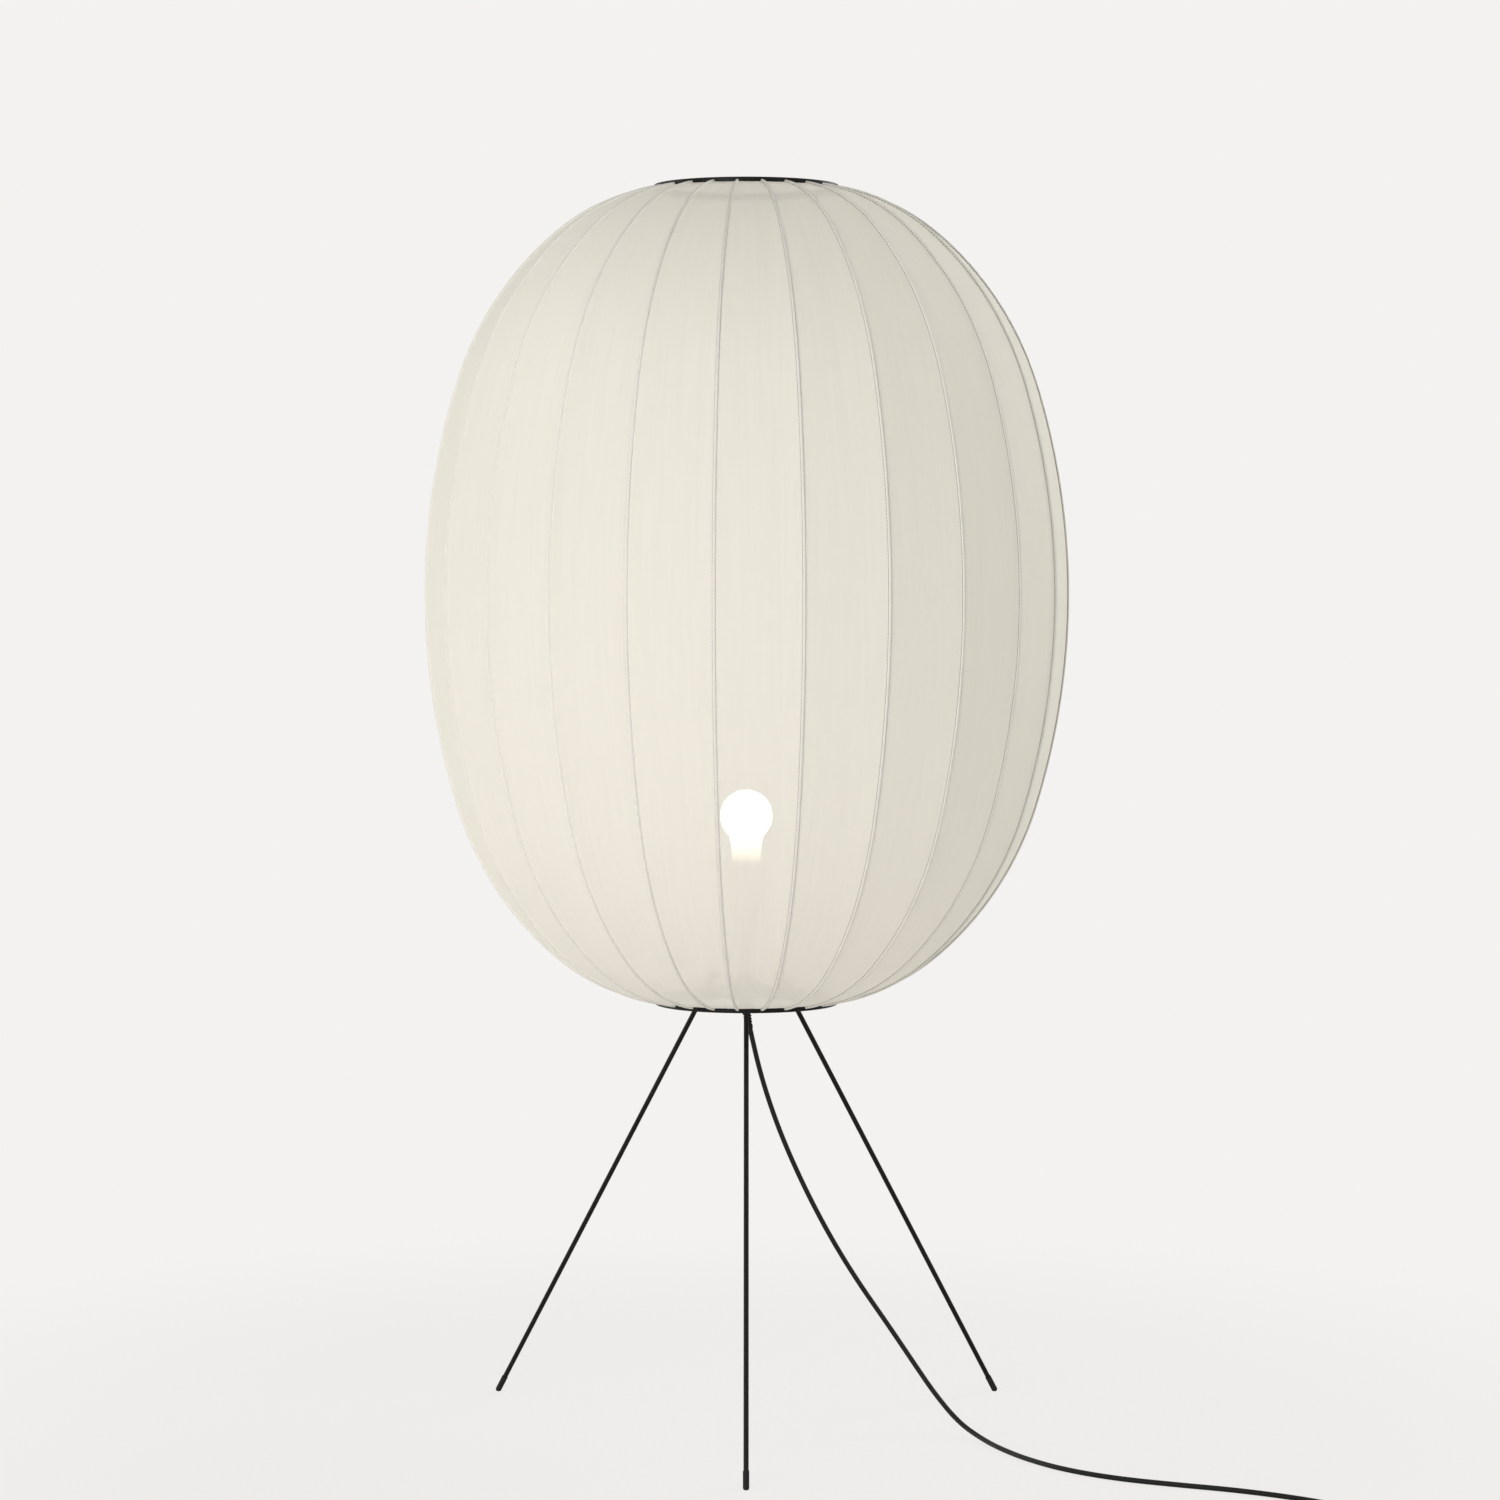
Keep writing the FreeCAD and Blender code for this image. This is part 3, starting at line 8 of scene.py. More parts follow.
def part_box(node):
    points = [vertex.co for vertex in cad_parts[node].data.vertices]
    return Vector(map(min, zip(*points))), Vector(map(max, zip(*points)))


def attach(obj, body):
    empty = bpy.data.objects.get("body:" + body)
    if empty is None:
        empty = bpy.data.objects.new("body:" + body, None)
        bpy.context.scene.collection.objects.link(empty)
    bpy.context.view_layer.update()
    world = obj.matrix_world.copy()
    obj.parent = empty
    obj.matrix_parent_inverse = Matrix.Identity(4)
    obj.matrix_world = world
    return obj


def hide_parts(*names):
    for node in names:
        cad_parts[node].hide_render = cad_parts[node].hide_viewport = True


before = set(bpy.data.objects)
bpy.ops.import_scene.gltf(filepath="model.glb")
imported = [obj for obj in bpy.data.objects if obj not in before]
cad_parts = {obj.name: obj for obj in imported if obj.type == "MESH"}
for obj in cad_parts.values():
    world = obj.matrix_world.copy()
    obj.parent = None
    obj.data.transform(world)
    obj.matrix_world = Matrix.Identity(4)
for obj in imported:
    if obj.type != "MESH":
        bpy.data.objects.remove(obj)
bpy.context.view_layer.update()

scene = bpy.context.scene
scene.view_settings.view_transform = "Standard"

# Viewpoint: a long lens about four metres in front of the lamp, level with the lower half of the shade
# and tipped down a little, so that both rings show as flat ellipses.
LENS = 96.18
STANDPOINT = (0.0037, -4.039, 0.8706)
TIPPED_DOWN = math.radians(2.653)
camera = bpy.data.objects.new("camera", bpy.data.cameras.new("camera"))
camera.data.lens = LENS
camera.location = STANDPOINT
camera.rotation_euler = (math.radians(90) - TIPPED_DOWN, 0, 0)
scene.collection.objects.link(camera)
scene.camera = camera


# Legs, tripod head and spider: straight steel rods in a turned head under a flat three-armed plate.
# All are steel with a thin black powder coat, which dries to a fine orange peel.
def new_finish(name, colour, roughness, metallic=0.0):
    """A material with one principled shader, and that shader."""
    material = bpy.data.materials.new(name)
    material.use_nodes = True
    shader = material.node_tree.nodes["Principled BSDF"]
    shader.inputs["Base Color"].default_value = (*colour, 1)
    shader.inputs["Roughness"].default_value = roughness
    shader.inputs["Metallic"].default_value = metallic
    return material, shader


def new_node(material, kind, **settings):
    """A node of a material; a setting is one of its own properties."""
    node = material.node_tree.nodes.new(f"ShaderNode{kind}")
    for setting, chosen in settings.items():
        setattr(node, setting, chosen)
    return node


def link(material, source, target):
    """Join an output socket to an input socket."""
    material.node_tree.links.new(source, target)


def mottle(material, scale, stretch=(1, 1, 1), detail=3.0):
    """Noise on the piece's own coordinates, drawn out along an axis where stretch is small."""
    place = new_node(material, "TexCoord")
    mapping = new_node(material, "Mapping")
    mapping.inputs["Scale"].default_value = stretch
    noise = new_node(material, "TexNoise")
    noise.inputs["Scale"].default_value = scale
    noise.inputs["Detail"].default_value = detail
    link(material, place.outputs["Object"], mapping.inputs["Vector"])
    link(material, mapping.outputs["Vector"], noise.inputs["Vector"])
    return noise.outputs["Fac"]


def spread(material, source, target, low, high):
    """Feed a socket with noise spread between two values."""
    ramp = new_node(material, "MapRange")
    ramp.inputs["From Min"].default_value = 0.3
    ramp.inputs["From Max"].default_value = 0.7
    ramp.inputs["To Min"].default_value = low
    ramp.inputs["To Max"].default_value = high
    link(material, source, ramp.inputs["Value"])
    link(material, ramp.outputs["Result"], target)


def tint(material, source, target, dark, light):
    """Feed a colour socket with noise between two shades."""
    ramp = new_node(material, "ValToRGB")
    ramp.color_ramp.elements[0].position = 0.3
    ramp.color_ramp.elements[0].color = (*dark, 1)
    ramp.color_ramp.elements[1].position = 0.7
    ramp.color_ramp.elements[1].color = (*light, 1)
    link(material, source, ramp.inputs["Fac"])
    link(material, ramp.outputs["Color"], target)


def roughen(material, shader, source, depth, strength=1.0):
    """Raise a bump of that depth in metres from a height."""
    bump = new_node(material, "Bump")
    bump.inputs["Strength"].default_value = strength
    bump.inputs["Distance"].default_value = depth
    link(material, source, bump.inputs["Height"])
    link(material, bump.outputs["Normal"], shader.inputs["Normal"])


def dress(material, *names):
    """Give a finish to solids of the frame."""
    for name in names:
        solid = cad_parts[name]
        solid.material_slots[0].material = material


black_coat, coat_shader = new_finish("black_powder_coat", (0.012, 0.012, 0.012), 0.42)
coat_shader.inputs["Specular IOR Level"].default_value = 0.12
peel = mottle(black_coat, 900, detail=2.0)
roughen(black_coat, coat_shader, peel, 0.00006)
film = mottle(black_coat, 35)
spread(black_coat, film, coat_shader.inputs["Roughness"], 0.36, 0.5)
tint(black_coat, film, coat_shader.inputs["Base Color"], (0.004, 0.004, 0.004), (0.007, 0.007, 0.006))
dress(black_coat, "leg_front", "leg_left", "leg_right", "tripod_head", "bottom_spider")

# Leg tips: thin moulded rubber caps pushed over the rods, each with a small flat worn on the floor.
# The rubber is matt, with a bloom that is a little greyer than the coat.
black_rubber, rubber_shader = new_finish("black_rubber", (0.016, 0.016, 0.016), 0.75)
rubber_shader.inputs["Specular IOR Level"].default_value = 0.2
bloom = mottle(black_rubber, 220)
tint(black_rubber, bloom, rubber_shader.inputs["Base Color"], (0.007, 0.007, 0.007), (0.014, 0.013, 0.013))
roughen(black_rubber, rubber_shader, mottle(black_rubber, 1600), 0.00005)
dress(black_rubber, "leg_tips")

# Screws, nuts and stem: turned steel with a clear zinc plating, dulled and faintly clouded.
# The stem is a hollow threaded tube that clamps spider and head between its two nuts.
zinc, zinc_shader = new_finish("zinc_plating", (0.55, 0.56, 0.57), 0.35, metallic=1.0)
cloud = mottle(zinc, 160)
tint(zinc, cloud, zinc_shader.inputs["Base Color"], (0.46, 0.47, 0.49), (0.62, 0.62, 0.61))
spread(zinc, cloud, zinc_shader.inputs["Roughness"], 0.28, 0.46)
roughen(zinc, zinc_shader, mottle(zinc, 500, stretch=(1, 1, 6)), 0.00004)
dress(zinc, "spider_screws", "leg_grub_screws", "stem_tube", "stem_nuts", "switch_screws")

# Shade rings: two flat steel hoops in the same black coat, bored all round for the rib ends.
# The lower one is screwed to the spider's arms; the upper one is carried by the ribs alone.
dress(black_coat, "top_ring", "bottom_ring")

# Ribs: bowed spring-steel wires in a cream coat, hidden in the cover's channels, rubbed lengthwise
# where the cloth was drawn over them.
rib_wire, wire_shader = new_finish("rib_coat", (0.82, 0.80, 0.74), 0.5)
drawn = mottle(rib_wire, 400, stretch=(1, 1, 0.05))
spread(rib_wire, drawn, wire_shader.inputs["Roughness"], 0.4, 0.6)
tint(rib_wire, drawn, wire_shader.inputs["Base Color"], (0.78, 0.76, 0.70), (0.85, 0.83, 0.77))
dress(rib_wire, *(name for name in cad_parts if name.startswith("rib_")))

# Cord: a round two-core lead in a smooth black sheath. It hangs from the strain relief, swings down to the
# floor, runs out to the right and turns back to the switch. Points are listed in metres.
CORD_DIAMETER = 0.005
CORD_REST = 0.0027
SWITCH_ENTRY = 0.005
CORD_EXIT = (0.003742, 0, 0.401394)
DROP_ROUTE = [
    CORD_EXIT,
    (0.009772, 0, 0.373028),
    (0.0195, -0.001, 0.338),
    (0.033, -0.002, 0.299),
    (0.050, -0.003, 0.259),
    (0.0695, -0.005, 0.219),
    (0.091, -0.007, 0.180),
    (0.115, -0.010, 0.142),
    (0.142, -0.015, 0.104),
    (0.167, -0.024, 0.068),
    (0.190, -0.039, 0.036),
    (0.213, -0.063, 0.012),
    (0.235, -0.097, CORD_REST),
    (0.251, -0.141, CORD_REST),
    (0.274, -0.187, CORD_REST),
    (0.307, -0.231, CORD_REST),
    (0.352, -0.267, CORD_REST),
    (0.405, -0.292, CORD_REST),
    (0.459, -0.314, CORD_REST),
    (0.508, -0.343, CORD_REST),
    (0.548, -0.376, CORD_REST),
    (0.552, -0.411, CORD_REST),
    (0.528, -0.437, 0.0034),
    (0.498, -0.438, SWITCH_ENTRY),
    (0.475, -0.438, SWITCH_ENTRY),
]

cord_sheath, sheath_shader = new_finish("cord_sheath", (0.014, 0.014, 0.014), 0.5)
sheath_shader.inputs["Specular IOR Level"].default_value = 0.15
handling = mottle(cord_sheath, 90)
spread(cord_sheath, handling, sheath_shader.inputs["Roughness"], 0.42, 0.6)
tint(cord_sheath, handling, sheath_shader.inputs["Base Color"], (0.005, 0.005, 0.005), (0.009, 0.009, 0.008))
roughen(cord_sheath, sheath_shader, mottle(cord_sheath, 1100), 0.00005)


def lay_cord(name, route):
    """A round cord on one smooth line through a route."""
    curve = bpy.data.curves.new(name, "CURVE")
    curve.dimensions = "3D"
    line = curve.splines.new("NURBS")
    line.points.add(len(route) - 1)
    for point, place in zip(line.points, route):
        point.co = (*place, 1)
    line.order_u = 3
    line.use_endpoint_u = True
    line.resolution_u = 8
    curve.bevel_depth = CORD_DIAMETER / 2
    curve.bevel_resolution = 4
    curve.use_fill_caps = True
    curve.materials.append(cord_sheath)
    cord = bpy.data.objects.new(name, curve)
    scene.collection.objects.link(cord)
    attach(cord, "lamp")
    return cord


drop = lay_cord("cord_from_lamp", DROP_ROUTE)
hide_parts("cord_drop")

# Put-away length: from the switch the lead runs into a flat coil of two layers, wound inwards below,
# up half a turn and outwards above, and leaves the upper layer for the plug.
COIL_PLACE = Vector((0.265, -0.441))
COIL_RADIUS = 0.036
COIL_PITCH = 0.0056
COIL_LOW = 0.0036
HALF_TURNS_EACH_WAY = 6
POINTS_IN_HALF_TURN = 12
COIL_TAIL = 0.028
RUN_ROUTE = [
    (0.365, -0.438, SWITCH_ENTRY),
    (0.341, -0.438, SWITCH_ENTRY),
    (0.316, -0.421, COIL_LOW),
    (0.293, -0.405, COIL_LOW),
    (0.270, -0.405, COIL_LOW),
]
coil_route = list(RUN_ROUTE)
edge_y = COIL_PLACE.y + COIL_RADIUS
turn_radius = COIL_RADIUS
height = COIL_LOW
for half in range(2 * HALF_TURNS_EACH_WAY + 1):
    side = -1 if half % 2 == 0 else 1
    middle_y = edge_y + side * turn_radius
    climb = COIL_PITCH if half == HALF_TURNS_EACH_WAY else 0
    for step in range(POINTS_IN_HALF_TURN):
        share = (step + 0.5) / POINTS_IN_HALF_TURN
        across = side * turn_radius * math.sin(math.pi * share)
        along = -side * turn_radius * math.cos(math.pi * share)
        coil_route.append((COIL_PLACE.x + across, middle_y + along, height + climb * share))
    edge_y += side * 2 * turn_radius
    height += climb
    turn_radius += (-0.5 if half < HALF_TURNS_EACH_WAY else 0.5) * COIL_PITCH
coil_end = Vector((COIL_PLACE.x + COIL_TAIL, edge_y, height))
coil_route += [coil_end - Vector((COIL_TAIL * 0.7, 0, 0)), coil_end]
coil = lay_cord("cord_to_plug", coil_route)
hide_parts("cord_run", "cord_coil")
dress(cord_sheath, "cord_inner")


# Strain relief: a soft black moulding on the stem's lower end, a cup with a tapered sleeve below it.
# The sleeve has ring grooves so that it bends with the cord, and leans the way the cord leaves.
def new_piece(name, shape, material, body="lamp", smooth=True):
    """Make a mesh an object of the lamp, with its finish, riding on a body."""
    mesh = bpy.data.meshes.new(name)
    shape.to_mesh(mesh)
    shape.free()
    mesh.materials.append(material)
    for face in mesh.polygons:
        face.use_smooth = smooth
    piece = bpy.data.objects.new(name, mesh)
    scene.collection.objects.link(piece)
    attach(piece, body)
    return piece


def lathe(shape, outline, steps=40):
    """Turn an outline of radius and height about the Z axis, and return the new vertices."""
    before = set(shape.verts)
    row = [shape.verts.new((radius, 0, height)) for radius, height in outline]
    edges = [shape.edges.new(pair) for pair in zip(row, row[1:])]
    bmesh.ops.spin(shape, geom=row + edges, cent=(0, 0, 0), axis=(0, 0, 1), angle=math.tau, steps=steps,
                   use_merge=True)
    made = [vert for vert in shape.verts if vert not in before]
    bmesh.ops.remove_doubles(shape, verts=made, dist=1e-6)
    return [vert for vert in shape.verts if vert not in before]


def sleeve_outline(root, tip, length, grooves, depth):
    """A tapered sleeve from its root at height 0 downwards, with ring grooves along its middle."""
    outline = [(0, 0), (root, 0)]
    for groove in range(grooves):
        start = (groove + 1) / (grooves + 2)
        for share, cut in ((0.0, 0), (0.1, depth), (0.5, depth), (0.6, 0)):
            place = start + share / (grooves + 2)
            outline.append((root + (tip - root) * place - cut, -length * place))
    return outline + [(tip, -length), (0, -length)]


GLAND_SEAT = 0.421
GLAND_FLOOR = 0.002
RELIEF_LEAN = math.radians(12)
gland = bmesh.new()
lathe(gland, [
    (0, -0.0005),
    (0.0049, -0.0005),
    (0.0049, -GLAND_FLOOR),
    (0.0060, -GLAND_FLOOR),
    (0.0065, -0.0014),
    (0.0065, 0.0058),
    (0.0060, 0.0063),
    (0.00505, 0.0063),
    (0.00505, 0.0001),
    (0, 0.0001),
])
relief = lathe(gland, sleeve_outline(0.0046, 0.0030, 0.018, 4, 0.0007))
lean = Matrix.Translation((0, 0, -GLAND_FLOOR)) @ Matrix.Rotation(-RELIEF_LEAN, 4, "Y")
bmesh.ops.transform(gland, matrix=lean, verts=relief)
bmesh.ops.translate(gland, vec=(0, 0, GLAND_SEAT), verts=gland.verts)
bmesh.ops.recalc_face_normals(gland, faces=gland.faces)
gland_piece = new_piece("strain_relief", gland, black_rubber, smooth=False)
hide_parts("cord_gland")

# Switch on the cord: a two-part moulded box screwed together from below, with a round press button.
# The plastic is black, spark-eroded to a fine even grain; the button is smoother from the thumb.
black_plastic, plastic_shader = new_finish("black_moulding", (0.016, 0.016, 0.016), 0.55)
erosion = mottle(black_plastic, 1300, detail=1.0)
roughen(black_plastic, plastic_shader, erosion, 0.00008)
skin = mottle(black_plastic, 60)
spread(black_plastic, skin, plastic_shader.inputs["Roughness"], 0.48, 0.62)
tint(black_plastic, skin, plastic_shader.inputs["Base Color"], (0.013, 0.013, 0.013), (0.02, 0.02, 0.019))
dress(black_plastic, "switch_base", "switch_cover")
button_plastic, button_shader = new_finish("button_moulding", (0.02, 0.02, 0.02), 0.35)
thumbed = mottle(button_plastic, 120)
spread(button_plastic, thumbed, button_shader.inputs["Roughness"], 0.25, 0.45)
tint(button_plastic, thumbed, button_shader.inputs["Base Color"],
     (0.016, 0.016, 0.016), (0.026, 0.026, 0.025))
dress(button_plastic, "switch_button")

# Plug: a two-pin body moulded on the end of the lead in the switch's black plastic.
# Its round brass pins are nickel-plated and rubbed lengthwise by the sockets they have been in.
dress(black_plastic, "plug_body")
nickel, nickel_shader = new_finish("nickel_plating", (0.66, 0.62, 0.55), 0.22, metallic=1.0)
rubbed = mottle(nickel, 300, stretch=(0.05, 1, 1))
spread(nickel, rubbed, nickel_shader.inputs["Roughness"], 0.16, 0.34)
tint(nickel, rubbed, nickel_shader.inputs["Base Color"], (0.6, 0.56, 0.5), (0.72, 0.69, 0.62))
dress(nickel, "plug_pins")

# Coil tie: a woven black strap with a hook-and-loop face, closed round the turns and lapped on itself.
# It is a band with rounded corners, drawn tight so that the coil keeps its shape.
STRAP_WIDTH = 0.012
STRAP_THICKNESS = 0.0008
STRAP_CORNER = 0.004
tie_low, tie_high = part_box("coil_tie")
strap = bmesh.new()
bmesh.ops.create_grid(strap, x_segments=1, y_segments=1, size=0.5)
strap_size = (tie_high.x - tie_low.x, tie_high.z - tie_low.z, 1)
bmesh.ops.scale(strap, vec=strap_size, verts=strap.verts)
bmesh.ops.delete(strap, geom=strap.faces[:], context="FACES_ONLY")
bmesh.ops.bevel(strap, geom=strap.verts[:], offset=STRAP_CORNER, segments=6, profile=0.5, affect="VERTICES",
                material=-1)
wall = bmesh.ops.extrude_edge_only(strap, edges=strap.edges[:])
raised = [item for item in wall["geom"] if isinstance(item, bmesh.types.BMVert)]
bmesh.ops.translate(strap, vec=(0, 0, STRAP_WIDTH), verts=raised)
stand = Matrix.Translation(((tie_low.x + tie_high.x) / 2, tie_high.y, (tie_low.z + tie_high.z) / 2))
bmesh.ops.transform(strap, matrix=stand @ Matrix.Rotation(math.radians(90), 4, "X"), verts=strap.verts)
bmesh.ops.recalc_face_normals(strap, faces=strap.faces)
bmesh.ops.solidify(strap, geom=strap.faces[:], thickness=STRAP_THICKNESS)
webbing, webbing_shader = new_finish("black_webbing", (0.03, 0.03, 0.03), 0.9)
weave = new_node(webbing, "TexWave", wave_type="BANDS", bands_direction="Y")
weave.inputs["Scale"].default_value = 260
weave.inputs["Distortion"].default_value = 3
webbing_place = new_node(webbing, "TexCoord")
link(webbing, webbing_place.outputs["Object"], weave.inputs["Vector"])
tint(webbing, weave.outputs["Fac"], webbing_shader.inputs["Base Color"],
     (0.012, 0.012, 0.012), (0.035, 0.035, 0.034))
roughen(webbing, webbing_shader, weave.outputs["Fac"], 0.0002)
tie = new_piece("cord_tie", strap, webbing)
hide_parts("coil_tie")

# Lampholder: a cap and a skirt moulded in off-white plastic and lapped together on the stem,
# round an insulating block with a drawn brass shell and a sprung brass tongue.
holder_plastic, holder_shader = new_finish("holder_moulding", (0.72, 0.70, 0.64), 0.5)
flow = mottle(holder_plastic, 45)
tint(holder_plastic, flow, holder_shader.inputs["Base Color"], (0.68, 0.66, 0.60), (0.76, 0.74, 0.68))
roughen(holder_plastic, holder_shader, mottle(holder_plastic, 1200), 0.00005)
dress(holder_plastic, "holder_cap", "holder_skirt", "holder_insert", "switch_block")
brass, brass_shader = new_finish("drawn_brass", (0.72, 0.53, 0.25), 0.3, metallic=1.0)
tarnish = mottle(brass, 180)
tint(brass, tarnish, brass_shader.inputs["Base Color"], (0.58, 0.41, 0.18), (0.78, 0.6, 0.3))
spread(brass, tarnish, brass_shader.inputs["Roughness"], 0.22, 0.42)
dress(brass, "screw_shell", "centre_contact")

# Bulb: a frosted white globe, lit, on a drawn aluminium screw cap with a soldered tip.
# The glow is full in the globe and warmer and weaker in the neck.
NECK_HEIGHT = 0.04
FULL_GLOW = (1.0, 0.95, 0.86, 1)
NECK_GLOW = (0.16, 0.135, 0.07, 1)
GLOW_STRENGTH = 9.0
bulb_frost, frost_shader = new_finish("bulb_frost", (0.95, 0.94, 0.90), 0.55)
glass_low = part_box("bulb_glass")[0]
bulb_place = new_node(bulb_frost, "TexCoord")
bulb_axes = new_node(bulb_frost, "SeparateXYZ")
link(bulb_frost, bulb_place.outputs["Object"], bulb_axes.inputs["Vector"])
rise = new_node(bulb_frost, "MapRange")
rise.inputs["From Min"].default_value = glass_low.z
rise.inputs["From Max"].default_value = glass_low.z + NECK_HEIGHT
link(bulb_frost, bulb_axes.outputs["Z"], rise.inputs["Value"])
glow = new_node(bulb_frost, "ValToRGB")
glow.color_ramp.elements[0].position = 0.07
glow.color_ramp.elements[0].color = (0, 0, 0, 1)
glow.color_ramp.elements[1].position = 0.8
glow.color_ramp.elements[1].color = FULL_GLOW
warm_neck = glow.color_ramp.elements.new(0.11)
warm_neck.color = NECK_GLOW
link(bulb_frost, rise.outputs["Result"], glow.inputs["Fac"])
link(bulb_frost, glow.outputs["Color"], frost_shader.inputs["Emission Color"])
frost_shader.inputs["Emission Strength"].default_value = GLOW_STRENGTH
roughen(bulb_frost, frost_shader, mottle(bulb_frost, 900), 0.00003)
dress(bulb_frost, "bulb_glass")
bulb_metal, metal_shader = new_finish("drawn_aluminium", (0.72, 0.72, 0.71), 0.3, metallic=1.0)
scuff = mottle(bulb_metal, 260)
spread(bulb_metal, scuff, metal_shader.inputs["Roughness"], 0.24, 0.45)
tint(bulb_metal, scuff, metal_shader.inputs["Base Color"], (0.62, 0.62, 0.62), (0.78, 0.78, 0.77))
dress(bulb_metal, "bulb_cap", "bulb_tip")

# Knitted cover: one tube of fine cream knit, pulled taut over the ribs and sewn into a narrow channel
# along each. Between two channels the cloth is straight across, drawn in a little by its own tension.
RIB_COUNT = 24
RIB_TURN = math.radians(-5.3)
RIB_RADIUS = 0.3225
RING_RADIUS = 0.093
SHADE_MIDDLE = 0.8385
SHADE_RISE = 0.4071
SHOULDER_RADIUS = 0.205
SIDE_END = math.radians(17.2)
MIDDLE_END = math.radians(49.0)
SHOULDER_END = math.radians(80.5)
CHANNEL_RADIUS = 0.00165
HALF_PANEL = math.pi / RIB_COUNT
PANEL_SAG = 0.008
PANEL_COLUMNS = 10
CHANNEL_COLUMNS = 3
ROWS = 112


def side_radii(equator, ring):
    """The two larger radii of the shade's side, from its half height and its width at middle and ring."""
    inward = equator - ring - SHOULDER_RADIUS * (math.cos(MIDDLE_END) - math.cos(SHOULDER_END))
    upward = SHADE_RISE - SHOULDER_RADIUS * (math.sin(SHOULDER_END) - math.sin(MIDDLE_END))
    side_in, side_up = 1 - math.cos(SIDE_END), math.sin(SIDE_END)
    middle_in = math.cos(SIDE_END) - math.cos(MIDDLE_END)
    middle_up = math.sin(MIDDLE_END) - math.sin(SIDE_END)
    share = side_in * middle_up - middle_in * side_up
    side = (inward * middle_up - middle_in * upward) / share
    middle = (side_in * upward - side_up * inward) / share
    return side, middle


SIDE_RADIUS, MIDDLE_RADIUS = side_radii(RIB_RADIUS, RING_RADIUS)
SIDE_ARCS = [
    (SIDE_RADIUS, 0.0, SIDE_END),
    (MIDDLE_RADIUS, SIDE_END, MIDDLE_END),
    (SHOULDER_RADIUS, MIDDLE_END, SHOULDER_END),
]
SIDE_LENGTH = sum(radius * (end - start) for radius, start, end in SIDE_ARCS)


def side_point(distance):
    """Radius, height over the middle and slope of a rib's line, at a distance along it from the middle."""
    radius_here, height_here = RIB_RADIUS, 0.0
    left = abs(distance)
    for radius, start, end in SIDE_ARCS:
        slope = min(start + left / radius, end)
        radius_here -= radius * (math.cos(start) - math.cos(slope))
        height_here += radius * (math.sin(slope) - math.sin(start))
        left -= radius * (slope - start)
        if left < 1e-9:
            break
    return radius_here, math.copysign(height_here, distance), math.copysign(slope, distance)


def column_place(column, width):
    """Distance across a gore from its middle, and height over the cloth, of one column of the mesh."""
    side = -1 if column < 0 else 1
    inner = abs(column) - PANEL_COLUMNS / 2
    if inner <= 0:
        share = abs(column) / (PANEL_COLUMNS / 2)
        across = share * (width - CHANNEL_RADIUS)
        return side * across, -PANEL_SAG * width * (1 - share * share)
    turn = math.radians(90) * inner / CHANNEL_COLUMNS
    return side * (width - CHANNEL_RADIUS * math.cos(turn)), CHANNEL_RADIUS * math.sin(turn)


half_columns = PANEL_COLUMNS // 2 + CHANNEL_COLUMNS
cloth = bmesh.new()
bmesh.ops.create_grid(cloth, x_segments=2 * half_columns, y_segments=ROWS, size=1)
cloth_map = cloth.loops.layers.uv.new("knit")
seam_map = cloth.verts.layers.float.new("seam")
flat_places = {}
columns = {}
for vert in cloth.verts:
    column = round(vert.co.x * half_columns)
    columns[vert] = abs(column)
    distance = vert.co.y * SIDE_LENGTH
    rib_radius, rise_here, slope = side_point(distance)
    width = rib_radius * math.sin(HALF_PANEL)
    across, proud = column_place(column, width)
    reach = rib_radius * math.cos(HALF_PANEL) + proud * math.cos(slope)
    on_rib = abs(column) == half_columns
    if on_rib:
        across = math.copysign(reach * math.tan(HALF_PANEL), across)
    vert.co = (reach, across, SHADE_MIDDLE + rise_here + proud * math.sin(slope))
    vert[seam_map] = 0 if on_rib else width - abs(across)
    flat_places[vert] = (across, distance)
for face in cloth.faces:
    for corner in face.loops:
        corner[cloth_map].uv = flat_places[corner.vert]
for edge in cloth.edges:
    edge.smooth = any(columns[vert] != PANEL_COLUMNS // 2 for vert in edge.verts)
back_seam = {vert for vert in cloth.verts if columns[vert] == half_columns and vert.co.y < 0}
to_back = Matrix.Rotation(math.radians(90) + RIB_TURN + HALF_PANEL, 3, "Z")
bmesh.ops.rotate(cloth, cent=(0, 0, 0), matrix=to_back, verts=cloth.verts)
bmesh.ops.spin(cloth, geom=cloth.verts[:] + cloth.edges[:] + cloth.faces[:], cent=(0, 0, 0), axis=(0, 0, 1),
               angle=math.tau - 2 * HALF_PANEL, steps=RIB_COUNT - 1, use_duplicate=True)
joined = [vert for vert in cloth.verts if vert not in back_seam]
bmesh.ops.remove_doubles(cloth, verts=joined, dist=1e-5)
bmesh.ops.recalc_face_normals(cloth, faces=cloth.faces)
cloth_area = sum(face.calc_area() for face in cloth.faces)

# The knit itself: fine columns of stitches, seen as faint upright lines, matt and slightly see-through,
# double along each channel.
# Beside each channel, on one side only, runs one raised row of stitches, painted dark grey as painted shade
# in the crease there.
WALE = 0.0022
COURSE = 0.0017
LOOP_DEPTH = 0.0003
STITCH = 0.0034
